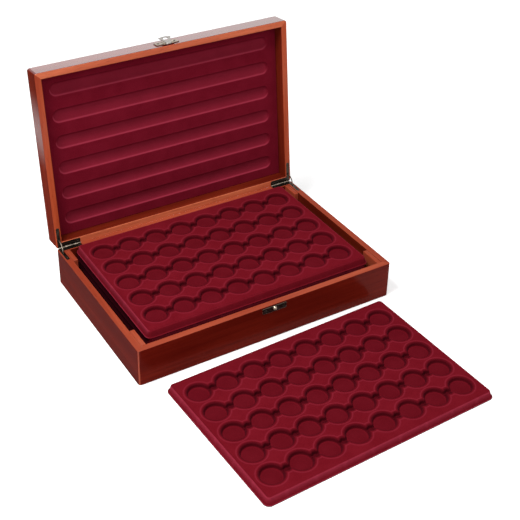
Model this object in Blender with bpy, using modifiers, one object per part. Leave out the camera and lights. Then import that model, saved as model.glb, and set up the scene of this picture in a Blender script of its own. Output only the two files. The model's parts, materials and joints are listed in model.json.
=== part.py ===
"""A coin display case: a mahogany case with a hinged lid, five coin trays in it and a sixth in front of it.

Metres, +Z up. The origin is at the centre of the case's underside, +X runs to the right and +Y to the back.
The lid's pieces are modelled with the lid closed, and an empty on the hinge axis turns them open.
"""
import math

import bmesh
import bpy
from mathutils import Matrix, Vector

# Clearances
GAP = 0.0003  # between pieces that touch on the real case
OVERRUN = 0.002  # how far a cutter runs past the face that it cuts
WELD = 0.00001  # points closer than this are one point

# Coin tray: rows of round recesses, with a finger notch between neighbours of a row
COIN_COLUMNS = 8
COIN_ROWS = 5
RECESS_PITCH = 0.0419
RECESS_RADIUS = 0.0158
RECESS_DEPTH = 0.005
NOTCH_RADIUS = 0.007
END_MARGIN = 0.0296  # from the last recess's centre to the tray's left or right edge
SIDE_MARGIN = 0.0347  # from the last row's centre to the tray's front or back edge
TRAY_CORNER_RADIUS = 0.0085
TRAY_HEIGHT = 0.010
FLANGE_THICKNESS = 0.0014
FLANGE_WIDTH = 0.0015
SLOPE_RUN = 0.0022  # the steep side above the flange
SHOULDER_RUN = 0.0009  # the rounded shoulder under the ridge's crown
SHOULDER_RISE = 0.0007
CROWN_WIDTH = 0.0006
FIELD_RUN = 0.0012  # from the crown down to the field that holds the recesses
FIELD_DROP = 0.0007

# Case
TRAYS_IN_CASE = 5
SIDE_PLAY = 0.00725  # between a tray and the corner blocks
END_PLAY = 0.0055  # between a tray and the front or back board
BLOCK_THICKNESS = 0.007
FRONT_BLOCK_LENGTH = 0.035
BACK_BLOCK_LENGTH = 0.029
WALL = 0.0095
CORNER_RADIUS = 0.004
EDGE_ROUND = 0.0009
BOTTOM_THICKNESS = 0.009
LINING_THICKNESS = 0.0007
TOP_TRAY_SINK = 0.0045  # how far the top tray's underside lies under the rim

# Lid
LID_OPEN_DEGREES = 96
RIM_GAP = 0.0005
LID_PLAY = 0.0022  # over a sixth tray, when the lid is closed on it
LINER_THICKNESS = 0.0062
LID_PANEL_THICKNESS = 0.004
PANEL_LEDGE = 0.005  # the rebate of the lid's boards that takes the top panel
TROUGHS = 6
TROUGH_LENGTH = 0.350
TROUGH_WIDTH = 0.020
TROUGH_ROUND_SHARE = 0.998  # of half the width, for the radius of its ends
TROUGH_PITCH = 0.0395
TROUGH_LIP_RUN = 0.0015
TROUGH_LIP_RISE = 0.0017
TROUGH_SIDE_RUN = 0.0032
TROUGH_SIDE_RISE = 0.0021
TROUGH_BED_RUN = 0.0028
TROUGH_BED_RISE = 0.0009

# Corner hinges, each with an L-shaped leaf in both rims and a stay that limits the lid
AXIS_SETBACK = 0.0  # how far the hinge axis lies behind the case's back
LEAF_THICKNESS = 0.0012
ARM_WIDTH = 0.005
ARM_INSET = 0.0022  # from the case's side to the leaf's side arm
SIDE_ARM_REACH = 0.0325  # from the case's back
BACK_ARM_REACH = 0.037  # from the case's side
BACK_ARM_DEPTH = 0.0082  # from the case's back
ARM_END_RADIUS = 0.0022
BARREL_START = 0.0032  # from the case's side
BARREL_RADIUS = 0.0018
OUTER_KNUCKLE_LENGTH = 0.010
HINGE_PIN_RADIUS = 0.0007
HINGE_PIN_REACH = 0.0003  # how far a pin stands out of its barrel's ends
STAY_RADIUS = 0.013
STAY_WIDTH = 0.002
STAY_THICKNESS = 0.001
STAY_HEAD_WIDTH = 0.0034
STAY_HEAD_LENGTH = 0.0012
LEAF_SCREW_FROM_END = 0.0045

# Latch: a plate and a hasp on the lid, a keeper with a stud on the case
LATCH_OFFSET = 0.004
LATCH_PLATE_LENGTH = 0.036
LATCH_PLATE_HEIGHT = 0.012
LATCH_PLATE_THICKNESS = 0.0009
LATCH_CORNER_RADIUS = 0.0015
LATCH_PIN_ABOVE_RIM = 0.0042  # above the lid's lower edge
LATCH_PIN_RADIUS = 0.0005
LATCH_KNUCKLE_RADIUS = 0.0015
LATCH_KNUCKLE_LENGTH = 0.0045
HASP_KNUCKLE_LENGTH = 0.008
HASP_THICKNESS = 0.0009
HASP_NECK_WIDTH = 0.0076
HASP_WIDTH = 0.0198
HASP_TAB_WIDTH = 0.008
HASP_SHOULDER = 0.0024  # from the pin to where the hasp widens
HASP_CORNER_RISE = 0.001  # from its end up to its pointed corners
HASP_RIM = 0.0014  # the metal past its hole
HASP_TAB_LENGTH = 0.0032
HASP_TAB_DEGREES = 35
HASP_REST_DEGREES = 157  # how far the hasp is thrown back from the closed position
STUD_BELOW_RIM = 0.0052
STUD_RADIUS = 0.003
STUD_HEIGHT = 0.0034
STUD_CLEARANCE = 0.0006
KEEPER_LENGTH = 0.0375
KEEPER_HEIGHT = 0.009
KEEPER_BELOW_RIM = 0.0014
KEEPER_THICKNESS = 0.001
LATCH_SCREW_FROM_END = 0.005

# Countersunk screws
SCREW_HEAD_RADIUS = 0.0015
SCREW_SHANK_RADIUS = 0.0007
SCREW_HEAD_HEIGHT = 0.0007
SCREW_LENGTH = 0.006
SCREW_POINT = 0.0015

# Loose tray in front of the case
LOOSE_TRAY_X = 0.0059
LOOSE_TRAY_Y = -0.2693
LOOSE_TRAY_TURN_DEGREES = 2

# Facets
TOP_TRAY_ARC_STEPS = 6  # along the half of a recess
INNER_TRAY_ARC_STEPS = 3
CORNER_STEPS = 4
TURN_STEPS = 12
STAY_STEPS = 14
EDGE_STEPS = 2
SMOOTH_DEGREES = 40

# Finishes: base colour, roughness, metallic
FINISHES = {
    "mahogany": ((0.235, 0.026, 0.009, 1.0), 0.25, 0.0),
    "burgundy_flock": ((0.150, 0.004, 0.012, 1.0), 0.95, 0.0),
    "dark_bronze": ((0.12, 0.10, 0.075, 1.0), 0.35, 1.0),
    "bright_steel": ((0.62, 0.60, 0.55, 1.0), 0.25, 1.0),
}

# Sizes that follow
tray_length = (COIN_COLUMNS - 1) * RECESS_PITCH + 2 * END_MARGIN
tray_depth = (COIN_ROWS - 1) * RECESS_PITCH + 2 * SIDE_MARGIN
tray_pitch = TRAY_HEIGHT + GAP
inner_length = tray_length + 2 * (SIDE_PLAY + BLOCK_THICKNESS)
inner_depth = tray_depth + 2 * END_PLAY
case_length = inner_length + 2 * WALL
case_depth = inner_depth + 2 * WALL
block_inner = inner_length / 2 - BLOCK_THICKNESS
lining_low = BOTTOM_THICKNESS + GAP
first_tray_low = lining_low + LINING_THICKNESS + GAP
base_height = first_tray_low + (TRAYS_IN_CASE - 1) * tray_pitch + TOP_TRAY_SINK
lid_low = base_height + RIM_GAP
lid_hollow = TRAY_HEIGHT - TOP_TRAY_SINK + tray_pitch + LID_PLAY
liner_low = lid_low + lid_hollow
panel_low = liner_low + LINER_THICKNESS + GAP
lid_top = panel_low + LID_PANEL_THICKNESS
axis_y = case_depth / 2 + AXIS_SETBACK
axis_z = base_height + RIM_GAP / 2

# In a hinge's own frame: x inwards from the case's side, y forwards from its back, z from the axis on
leaf_face = RIM_GAP / 2
barrel_end = BACK_ARM_REACH
barrel_clear = BARREL_RADIUS + GAP - AXIS_SETBACK
side_arm_middle = ARM_INSET + ARM_WIDTH / 2
stay_inner = STAY_RADIUS - STAY_WIDTH / 2
stay_outer = STAY_RADIUS + STAY_WIDTH / 2
stay_rim_angle = math.asin((leaf_face + LEAF_THICKNESS + GAP) / stay_inner)
stay_head_angle = STAY_HEAD_LENGTH / STAY_RADIUS
stay_body_angle = math.radians(LID_OPEN_DEGREES) / 2 + stay_rim_angle
stay_half_angle = stay_body_angle + stay_head_angle
stay_head_inner = STAY_RADIUS - STAY_HEAD_WIDTH / 2
stay_head_outer = STAY_RADIUS + STAY_HEAD_WIDTH / 2

# In the latch's own frame: x along the front, y up, z out of the front
latch_pin_height = lid_low + LATCH_PIN_ABOVE_RIM
latch_pin_out = LATCH_KNUCKLE_RADIUS + GAP
latch_plate_low = latch_pin_height + LATCH_KNUCKLE_RADIUS + GAP
latch_barrel_half = HASP_KNUCKLE_LENGTH / 2 + GAP + LATCH_KNUCKLE_LENGTH
stud_height = base_height - STUD_BELOW_RIM
hasp_reach = latch_pin_height - stud_height
hasp_hole_radius = STUD_RADIUS + STUD_CLEARANCE
hasp_tip = hasp_reach + hasp_hole_radius + HASP_RIM


def new_collection(name):
    """A collection in the scene."""
    made = bpy.data.collections.new(name)
    bpy.context.scene.collection.children.link(made)
    return made


def arc(centre, radius, start, end, steps):
    """Points on a circle from one angle to another, in degrees, both ends among them."""
    points = []
    for step in range(steps + 1):
        angle = math.radians(start + (end - start) * step / steps)
        points.append((centre[0] + radius * math.cos(angle), centre[1] + radius * math.sin(angle)))
    return points


def rounded_rectangle(length, width, radius, centre=(0, 0)):
    """A rectangle's outline with round corners, anticlockwise."""
    x, y = length / 2 - radius, width / 2 - radius
    points = []
    for turn, (side, end) in enumerate(((1, -1), (1, 1), (-1, 1), (-1, -1))):
        middle = (centre[0] + side * x, centre[1] + end * y)
        points += arc(middle, radius, 90 * turn - 90, 90 * turn, CORNER_STEPS)
    return points


def evaluated_bmesh(guide):
    """An object's evaluated shape as a bmesh, welded and with its faces pointing out; the object goes."""
    depsgraph = bpy.context.evaluated_depsgraph_get()
    mesh = bpy.data.meshes.new_from_object(guide.evaluated_get(depsgraph))
    shape = bmesh.new()
    shape.from_mesh(mesh)
    bpy.data.meshes.remove(mesh)
    bpy.data.objects.remove(guide)
    bmesh.ops.remove_doubles(shape, verts=shape.verts, dist=WELD)
    bmesh.ops.recalc_face_normals(shape, faces=shape.faces)
    return shape


def plate(outline, low, high):
    """A flat plate: an outline in the XY plane, filled, and thick from low to high along Z."""
    curve = bpy.data.curves.new("outline", "CURVE")
    curve.dimensions = "2D"
    curve.fill_mode = "BOTH"
    curve.extrude = (high - low) / 2
    spline = curve.splines.new("POLY")
    spline.points.add(len(outline) - 1)
    for point, (x, y) in zip(spline.points, outline):
        point.co = (x, y, 0, 1)
    spline.use_cyclic_u = True
    guide = bpy.data.objects.new("outline", curve)
    bpy.context.scene.collection.objects.link(guide)
    shape = evaluated_bmesh(guide)
    for way in (-1, 1):
        cap = [face for face in shape.faces if face.normal.z * way > 0.5]
        bmesh.ops.dissolve_faces(shape, faces=cap)
    bmesh.ops.translate(shape, verts=shape.verts, vec=(0, 0, (low + high) / 2))
    return shape


def stepped(shape, steps):
    """Builds a plate's top up in steps; each runs inwards along the face and rises over it."""
    shape.normal_update()
    top = max(shape.faces, key=lambda face: face.calc_center_median().z)
    for run, rise in steps:
        bmesh.ops.inset_individual(shape, faces=[top], thickness=run, depth=rise, use_even_offset=True)
    return shape


def block(low, high):
    """A box between two corners."""
    low, high = Vector(low), Vector(high)
    place = Matrix.Translation((low + high) / 2) @ Matrix.Diagonal((*(high - low), 1))
    shape = bmesh.new()
    bmesh.ops.create_cube(shape, size=1, matrix=place)
    return shape


def turned(profile):
    """A turned solid about Z. The profile of (radius, height) points starts and ends on the axis."""
    mesh = bpy.data.meshes.new("profile")
    edges = [(number, number + 1) for number in range(len(profile) - 1)]
    mesh.from_pydata([(radius, 0, height) for radius, height in profile], edges, [])
    guide = bpy.data.objects.new("profile", mesh)
    bpy.context.scene.collection.objects.link(guide)
    turn = guide.modifiers.new("turn", "SCREW")
    turn.steps = TURN_STEPS
    turn.render_steps = TURN_STEPS
    turn.use_merge_vertices = True
    turn.merge_threshold = WELD
    return evaluated_bmesh(guide)


def rod(radius, start, end, y=0, z=0):
    """A round bar along X."""
    shape = bmesh.new()
    place = Matrix.Translation(((start + end) / 2, y, z)) @ Matrix.Rotation(math.pi / 2, 4, "Y")
    sizes = {"radius1": radius, "radius2": radius, "depth": end - start, "segments": TURN_STEPS}
    bmesh.ops.create_cone(shape, cap_ends=True, matrix=place, **sizes)
    return shape


def placed(shape, place):
    """Puts a shape in another frame; a mirrored one gets its faces turned out again."""
    bmesh.ops.transform(shape, matrix=place, verts=shape.verts)
    if place.determinant() < 0:
        bmesh.ops.reverse_faces(shape, faces=shape.faces)
    return shape


def add_object(name, shape, collection):
    """Makes an object of a shape, in a collection."""
    mesh = bpy.data.meshes.new(name)
    shape.to_mesh(mesh)
    shape.free()
    made = bpy.data.objects.new(name, mesh)
    collection.objects.link(made)
    return made


def give_material(piece, finish):
    """Gives a piece its own material, in one of the finishes."""
    colour, roughness, metallic = FINISHES[finish]
    material = bpy.data.materials.new(piece.name)
    material.use_nodes = True
    shader = material.node_tree.nodes["Principled BSDF"]
    shader.inputs["Base Color"].default_value = colour
    shader.inputs["Roughness"].default_value = roughness
    shader.inputs["Metallic"].default_value = metallic
    piece.data.materials.append(material)


def add_piece(name, shape, finish, smooth=False):
    """Makes a piece of the case, with its material."""
    piece = add_object(name, shape, pieces)
    give_material(piece, finish)
    if smooth:
        piece.data.shade_smooth()
        piece.data.set_sharp_from_angle(angle=math.radians(SMOOTH_DEGREES))
    return piece


def add_cutters(name, shapes, parent=None):
    """A collection of closed shapes for a Boolean, left out of renders and drawn as wires."""
    group = bpy.data.collections.new(name)
    cutters.children.link(group)
    for number, shape in enumerate(shapes):
        cutter = add_object(f"{name}_{number + 1}", shape, group)
        cutter.hide_render = True
        cutter.display_type = "WIRE"
        hang(cutter, parent)
    return group


def combine(piece, group, operation="DIFFERENCE"):
    """Cuts a group of shapes out of a piece, or joins them to it."""
    boolean = piece.modifiers.new(group.name, "BOOLEAN")
    boolean.operation = operation
    boolean.solver = "EXACT"
    boolean.operand_type = "COLLECTION"
    boolean.collection = group


def add_pivot(name, y, z, degrees, parent=None):
    """An empty on a joint's axis, which lies along X, turned about it from the closed position."""
    pivot = bpy.data.objects.new(name, None)
    pivot.empty_display_size = BARREL_RADIUS
    pieces.objects.link(pivot)
    pivot.location = (0, y, z)
    pivot.rotation_euler.x = math.radians(-degrees)
    if parent:
        hang(pivot, parent)
    return pivot


def hang(item, pivot):
    """Hangs an item, modelled with the lid closed, on a pivot, so that the pivot's turn moves it."""
    if pivot:
        item.parent = pivot
        item.matrix_parent_inverse = closed_place[pivot.name].inverted()


def row_outline(arc_steps):
    """A row of recesses seen from above: circles joined through the smaller ones of the finger notches."""
    half = RECESS_PITCH / 2
    along = (half**2 + RECESS_RADIUS**2 - NOTCH_RADIUS**2) / (2 * half)
    meet = math.degrees(math.acos(along / RECESS_RADIUS))
    end_steps = 2 * arc_steps + 1
    first = -(COIN_COLUMNS - 1) * half
    last = -first
    points = arc((first, 0), RECESS_RADIUS, meet, 360 - meet, end_steps)
    for column in range(1, COIN_COLUMNS - 1):
        x = first + column * RECESS_PITCH
        points.append((x - half, -NOTCH_RADIUS))
        points += arc((x, 0), RECESS_RADIUS, 180 + meet, 360 - meet, arc_steps)
    points.append((last - half, -NOTCH_RADIUS))
    points += arc((last, 0), RECESS_RADIUS, 180 + meet, 540 - meet, end_steps)
    for column in range(COIN_COLUMNS - 2, 0, -1):
        x = first + column * RECESS_PITCH
        points.append((x + half, NOTCH_RADIUS))
        points += arc((x, 0), RECESS_RADIUS, meet, 180 - meet, arc_steps)
    points.append((first + half, NOTCH_RADIUS))
    return points


def tray_mesh(name, arc_steps):
    """A flocked tray: a flange, a steep side up to a rounded ridge, and a field with rows of recesses."""
    body = plate(rounded_rectangle(tray_length, tray_depth, TRAY_CORNER_RADIUS), 0, FLANGE_THICKNESS)
    slope_rise = TRAY_HEIGHT - FLANGE_THICKNESS - SHOULDER_RISE
    steps = (
        (FLANGE_WIDTH, 0),
        (SLOPE_RUN, slope_rise),
        (SHOULDER_RUN, SHOULDER_RISE),
        (CROWN_WIDTH, 0),
        (FIELD_RUN, -FIELD_DROP),
    )
    master = add_object(name, stepped(body, steps), pieces)
    floor = TRAY_HEIGHT - FIELD_DROP - RECESS_DEPTH
    rows = []
    for row in range(COIN_ROWS):
        y = (row - (COIN_ROWS - 1) / 2) * RECESS_PITCH
        outline = [(px, py + y) for px, py in row_outline(arc_steps)]
        rows.append(plate(outline, floor, TRAY_HEIGHT + OVERRUN))
    combine(master, add_cutters(f"{name}_rows", rows))
    mesh = bpy.data.meshes.new(name)
    cut = evaluated_bmesh(master)
    cut.to_mesh(mesh)
    cut.free()
    return mesh


def add_trays():
    """Five trays stacked in the case, pushed against its back, and one on the table in front of it."""
    inner_mesh = tray_mesh("inner_tray", INNER_TRAY_ARC_STEPS)
    shown_mesh = tray_mesh("shown_tray", TOP_TRAY_ARC_STEPS)
    for number in range(TRAYS_IN_CASE):
        top = number == TRAYS_IN_CASE - 1
        tray = bpy.data.objects.new(f"tray_{number + 1}", shown_mesh if top else inner_mesh)
        tray.location = (0, END_PLAY - GAP, first_tray_low + number * tray_pitch)
        pieces.objects.link(tray)
    loose = bpy.data.objects.new("loose_tray", shown_mesh)
    loose.location = (LOOSE_TRAY_X, LOOSE_TRAY_Y, 0)
    loose.rotation_euler.z = math.radians(LOOSE_TRAY_TURN_DEGREES)
    pieces.objects.link(loose)
    for mesh, one in ((inner_mesh, "tray_1"), (shown_mesh, "loose_tray")):
        give_material(bpy.data.objects[one], "burgundy_flock")


def board(run, cross, low, high):
    """A mitred board along a frame's near side, with half of each corner's round and eased outer edges."""
    end = run / 2 - GAP / math.sqrt(2)
    near = -cross / 2
    inset = CORNER_RADIUS
    half_steps = CORNER_STEPS // 2
    outline = arc((inset - end, near + inset), CORNER_RADIUS, 225, 270, half_steps)
    outline += arc((end - inset, near + inset), CORNER_RADIUS, 270, 315, half_steps)
    outline += [(end - WALL, near + WALL), (WALL - end, near + WALL)]
    shape = plate(outline, low, high)
    outer = []
    for edge in shape.edges:
        first, second = (vert.co for vert in edge.verts)
        level = abs(first.z - second.z) < WELD
        if level and max(first.y, second.y) < near + CORNER_RADIUS:
            outer.append(edge)
    bmesh.ops.bevel(shape, geom=outer, offset=EDGE_ROUND, segments=EDGE_STEPS, profile=0.5, affect="EDGES")
    return shape


def add_frame(prefix, low, high, finish):
    """Four mitred boards round the case; each is the near board turned by quarter turns."""
    boards = {}
    for turns, side in enumerate(("front", "right", "back", "left")):
        run, cross = (case_length, case_depth) if turns % 2 == 0 else (case_depth, case_length)
        shape = placed(board(run, cross, low, high), Matrix.Rotation(turns * math.pi / 2, 4, "Z"))
        boards[side] = add_piece(f"{prefix}_{side}_board", shape, finish)
    return boards


def add_base():
    """The case's boards, its bottom and floor lining, and the blocks in its corners."""
    boards = add_frame("base", 0, base_height, "mahogany")
    x, y = inner_length / 2 - GAP, inner_depth / 2 - GAP
    add_piece("bottom_panel", block((-x, -y, 0), (x, y, BOTTOM_THICKNESS)), "mahogany")
    x = block_inner - GAP
    lining = block((-x, -y, lining_low), (x, y, lining_low + LINING_THICKNESS))
    add_piece("floor_lining", lining, "burgundy_flock")
    for side, x_sign in (("left", -1), ("right", 1)):
        for end, y_sign, length in (("front", -1, FRONT_BLOCK_LENGTH), ("back", 1, BACK_BLOCK_LENGTH)):
            x_ends = sorted((x_sign * block_inner, x_sign * (inner_length / 2 - GAP)))
            y_ends = sorted((y_sign * y, y_sign * (y - length)))
            low, high = zip(x_ends, y_ends, (lining_low, base_height))
            add_piece(f"{end}_{side}_block", block(low, high), "mahogany")
    return boards


def add_lid(pivot):
    """The lid's boards, its top panel in their rebate, and the liner with its troughs."""
    boards = add_frame("lid", lid_low, lid_top, "mahogany")
    x, y = inner_length / 2 + PANEL_LEDGE, inner_depth / 2 + PANEL_LEDGE
    rebate = block((-x, -y, panel_low - GAP), (x, y, lid_top + OVERRUN))
    rebate = add_cutters("panel_rebate", [rebate], pivot)
    for one in boards.values():
        combine(one, rebate)
        hang(one, pivot)
    x, y = x - GAP, y - GAP
    hang(add_piece("lid_top_panel", block((-x, -y, panel_low), (x, y, lid_top)), "mahogany"), pivot)
    x, y = inner_length / 2 - GAP, inner_depth / 2 - GAP
    liner = block((-x, -y, liner_low), (x, y, liner_low + LINER_THICKNESS))
    liner = add_piece("lid_liner", liner, "burgundy_flock")
    steps = (
        (TROUGH_LIP_RUN, TROUGH_LIP_RISE),
        (TROUGH_SIDE_RUN, TROUGH_SIDE_RISE),
        (TROUGH_BED_RUN, TROUGH_BED_RISE),
    )
    troughs = []
    for number in range(TROUGHS):
        middle = (0, (number - (TROUGHS - 1) / 2) * TROUGH_PITCH)
        radius = TROUGH_ROUND_SHARE * TROUGH_WIDTH / 2
        outline = rounded_rectangle(TROUGH_LENGTH, TROUGH_WIDTH, radius, middle)
        troughs.append(stepped(plate(outline, liner_low - OVERRUN, liner_low), steps))
    combine(liner, add_cutters("liner_troughs", troughs, pivot))
    hang(liner, pivot)
    return boards


def leaf_outline(grow, back):
    """An L seen from the rim, with round ends; grow widens it all round, back is the y of its back edge."""
    near, far = ARM_INSET - grow, ARM_INSET + ARM_WIDTH + grow
    end, depth = BACK_ARM_REACH + grow, BACK_ARM_DEPTH + grow
    side_end = SIDE_ARM_REACH + grow
    radius = ARM_END_RADIUS
    points = [(near, back), (end, back)]
    points += arc((end - radius, depth - radius), radius, 0, 90, CORNER_STEPS)
    points.append((far, depth))
    points += arc((far - radius, side_end - radius), radius, 0, 90, CORNER_STEPS)
    points += arc((near + radius, side_end - radius), radius, 90, 180, CORNER_STEPS)
    return points


def screw_shape(grow=0):
    """A countersunk screw along Z, its face at zero and its point up; grow makes it a hole's cutter."""
    head, shank = SCREW_HEAD_RADIUS + grow, SCREW_SHANK_RADIUS + grow
    if grow:
        profile = [(0, -OVERRUN), (head, -OVERRUN), (head, 0), (shank, SCREW_HEAD_HEIGHT)]
        return turned(profile + [(shank, SCREW_LENGTH + grow), (0, SCREW_LENGTH + grow)])
    profile = [(0, 0), (head, 0), (shank, SCREW_HEAD_HEIGHT), (shank, SCREW_LENGTH - SCREW_POINT)]
    return turned(profile + [(0, SCREW_LENGTH)])


def stay_shape():
    """A flat ring sector about the hinge axis, with wider heads, that stands in the side arm's middle."""
    body, end = math.degrees(stay_body_angle), math.degrees(stay_half_angle)
    points = []
    sides = ((1, stay_outer, stay_head_outer), (-1, stay_inner, stay_head_inner))
    for way, side_radius, head_radius in sides:
        points += arc((0, 0), head_radius, -way * end, -way * body, 1)
        points += arc((0, 0), side_radius, -way * body, way * body, STAY_STEPS)
        points += arc((0, 0), head_radius, way * body, way * end, 1)
    shape = plate(points, -STAY_THICKNESS / 2, STAY_THICKNESS / 2)
    stand = Matrix(((0, 0, 1, side_arm_middle), (1, 0, 0, -AXIS_SETBACK), (0, 1, 0, 0), (0, 0, 0, 1)))
    return placed(shape, stand)


def hinge_cutters(screws):
    """What a hinge takes out of the wood of one rim, for its leaf, barrel, stay and screws."""
    stay_near = stay_head_inner * math.cos(stay_half_angle) - AXIS_SETBACK - GAP
    stay_far = stay_head_outer - AXIS_SETBACK + GAP
    stay_deep = stay_head_outer * math.sin(stay_half_angle) + GAP
    half = STAY_THICKNESS / 2 + GAP
    bed = plate(leaf_outline(GAP, -OVERRUN), -OVERRUN, leaf_face + LEAF_THICKNESS + GAP)
    barrel_low = (BARREL_START - GAP, -OVERRUN, -OVERRUN)
    barrel = block(barrel_low, (barrel_end + GAP, barrel_clear, BARREL_RADIUS + GAP))
    stay_low = (side_arm_middle - half, stay_near, -OVERRUN)
    stay = block(stay_low, (side_arm_middle + half, stay_far, stay_deep))
    holes = [placed(screw_shape(GAP), Matrix.Translation((x, y, leaf_face))) for x, y in screws]
    return [bed, barrel, stay] + holes


def add_leaf(name, place, knuckles, screws, pivot):
    """An L-shaped leaf, its knuckles joined to it by tongues, with holes for the pin, stay and screws."""
    back = barrel_clear
    low, high = leaf_face, leaf_face + LEAF_THICKNESS
    leaf = placed(plate(leaf_outline(0, back), low, high), place)
    leaf = add_piece(name, leaf, "dark_bronze", smooth=True)
    joined = []
    for start, end in knuckles:
        tongue = block((start, -AXIS_SETBACK, low), (end, back + LEAF_THICKNESS, high))
        joined.append(placed(rod(BARREL_RADIUS, start, end, -AXIS_SETBACK), place))
        joined.append(placed(tongue, place))
    combine(leaf, add_cutters(f"{name}_knuckles", joined, pivot), "UNION")
    near = stay_inner * math.cos(stay_rim_angle) - AXIS_SETBACK - GAP
    half = STAY_THICKNESS / 2 + GAP
    slot_low = (side_arm_middle - half, near, -OVERRUN)
    slot = block(slot_low, (side_arm_middle + half, stay_outer - AXIS_SETBACK + GAP, high + OVERRUN))
    bore = rod(HINGE_PIN_RADIUS + GAP, BARREL_START - OVERRUN, barrel_end + OVERRUN, -AXIS_SETBACK)
    holes = [screw_shape(GAP) for _ in screws]
    holes = [placed(hole, Matrix.Translation((x, y, leaf_face))) for hole, (x, y) in zip(holes, screws)]
    cuts = [placed(shape, place) for shape in [slot, bore] + holes]
    combine(leaf, add_cutters(f"{name}_holes", cuts, pivot))
    hang(leaf, pivot)


def add_hinge(side, sign, base_boards, lid_boards, lid_pivot):
    """One corner hinge: leaves, pin, stay and screws. The lid's half mirrors the base's."""
    screws = (
        (side_arm_middle, SIDE_ARM_REACH - LEAF_SCREW_FROM_END),
        (BACK_ARM_REACH - LEAF_SCREW_FROM_END, (barrel_clear + BACK_ARM_DEPTH) / 2),
    )
    inner_start = BARREL_START + OUTER_KNUCKLE_LENGTH + GAP
    inner_end = barrel_end - OUTER_KNUCKLE_LENGTH - GAP
    outer = ((BARREL_START, inner_start - GAP), (inner_end + GAP, barrel_end))
    halves = (
        ("base", -1, outer, base_boards, None),
        ("lid", 1, ((inner_start, inner_end),), lid_boards, lid_pivot),
    )
    corner = Matrix.Translation((sign * case_length / 2, case_depth / 2, axis_z))
    for half, way, knuckles, boards, pivot in halves:
        place = corner @ Matrix.Diagonal((-sign, -1, way, 1))
        name = f"{side}_hinge_{half}_leaf"
        bed = add_cutters(f"{name}_bed", [placed(shape, place) for shape in hinge_cutters(screws)], pivot)
        combine(boards[side], bed)
        combine(boards["back"], bed)
        add_leaf(name, place, knuckles, screws, pivot)
        for arm, (x, y) in zip(("side", "back"), screws):
            screw = placed(screw_shape(), place @ Matrix.Translation((x, y, leaf_face)))
            hang(add_piece(f"{side}_hinge_{half}_{arm}_screw", screw, "dark_bronze", smooth=True), pivot)
    place = corner @ Matrix.Diagonal((-sign, -1, 1, 1))
    pin = rod(HINGE_PIN_RADIUS, BARREL_START - HINGE_PIN_REACH, barrel_end + HINGE_PIN_REACH, -AXIS_SETBACK)
    add_piece(f"{side}_hinge_pin", placed(pin, place), "dark_bronze", smooth=True)
    stay_pivot = add_pivot(f"{side}_stay_pivot", axis_y, axis_z, 0)
    closed_place[stay_pivot.name] = Matrix.Translation((0, axis_y, axis_z))
    hang(add_piece(f"{side}_stay", placed(stay_shape(), place), "bright_steel"), stay_pivot)
    stay_pivot.rotation_euler.x = math.radians(-LID_OPEN_DEGREES / 2)


def hasp_outline():
    """The hasp hanging from its pin: a neck spreading to two pointed corners, and a finger's end."""
    neck, wing, tab = HASP_NECK_WIDTH / 2, HASP_WIDTH / 2, HASP_TAB_WIDTH / 2
    half = [(neck, 0), (neck, -HASP_SHOULDER), (wing, HASP_CORNER_RISE - hasp_tip), (tab, -hasp_tip)]
    return [(-x, y) for x, y in half] + half[::-1]


def add_plate_screws(name, wood, pivot, place, x, y, face):
    """Two countersunk screws through a plate of the latch into the wood behind it."""
    turn = Matrix.Rotation(math.pi, 4, "X")
    spots = [place @ Matrix.Translation((way * x, y, face)) @ turn for way in (-1, 1)]
    group = add_cutters(f"{name}_screw_holes", [placed(screw_shape(GAP), spot) for spot in spots], pivot)
    combine(bpy.data.objects[name], group)
    combine(wood, group)
    for side, spot in zip(("left", "right"), spots):
        screw = add_piece(f"{name}_{side}_screw", placed(screw_shape(), spot), "dark_bronze", smooth=True)
        hang(screw, pivot)


def add_latch_plate(place, pin_frame, lid_board, lid_pivot):
    """The plate on the lid's front, with its two knuckles, and the pin that carries the hasp."""
    low, high = GAP, GAP + LATCH_PLATE_THICKNESS
    middle = (0, latch_plate_low + LATCH_PLATE_HEIGHT / 2)
    outline = rounded_rectangle(LATCH_PLATE_LENGTH, LATCH_PLATE_HEIGHT, LATCH_CORNER_RADIUS, middle)
    body = add_piece("latch_plate", placed(plate(outline, low, high), place), "dark_bronze", smooth=True)
    joined = []
    for start in (-latch_barrel_half, HASP_KNUCKLE_LENGTH / 2 + GAP):
        end = start + LATCH_KNUCKLE_LENGTH
        tongue = block((start, latch_pin_height, low), (end, latch_plate_low + LATCH_PLATE_THICKNESS, high))
        joined.append(placed(rod(LATCH_KNUCKLE_RADIUS, start, end), pin_frame))
        joined.append(placed(tongue, place))
    combine(body, add_cutters("latch_plate_knuckles", joined, lid_pivot), "UNION")
    bore = rod(LATCH_PIN_RADIUS + GAP, -latch_barrel_half - OVERRUN, latch_barrel_half + OVERRUN)
    combine(body, add_cutters("latch_plate_bore", [placed(bore, pin_frame)], lid_pivot))
    hang(body, lid_pivot)
    pin_end = latch_barrel_half + HINGE_PIN_REACH
    pin = placed(rod(LATCH_PIN_RADIUS, -pin_end, pin_end), pin_frame)
    hang(add_piece("latch_pin", pin, "dark_bronze", smooth=True), lid_pivot)
    screw_x = LATCH_PLATE_LENGTH / 2 - LATCH_SCREW_FROM_END
    add_plate_screws("latch_plate", lid_board, lid_pivot, place, screw_x, middle[1], high)


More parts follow.
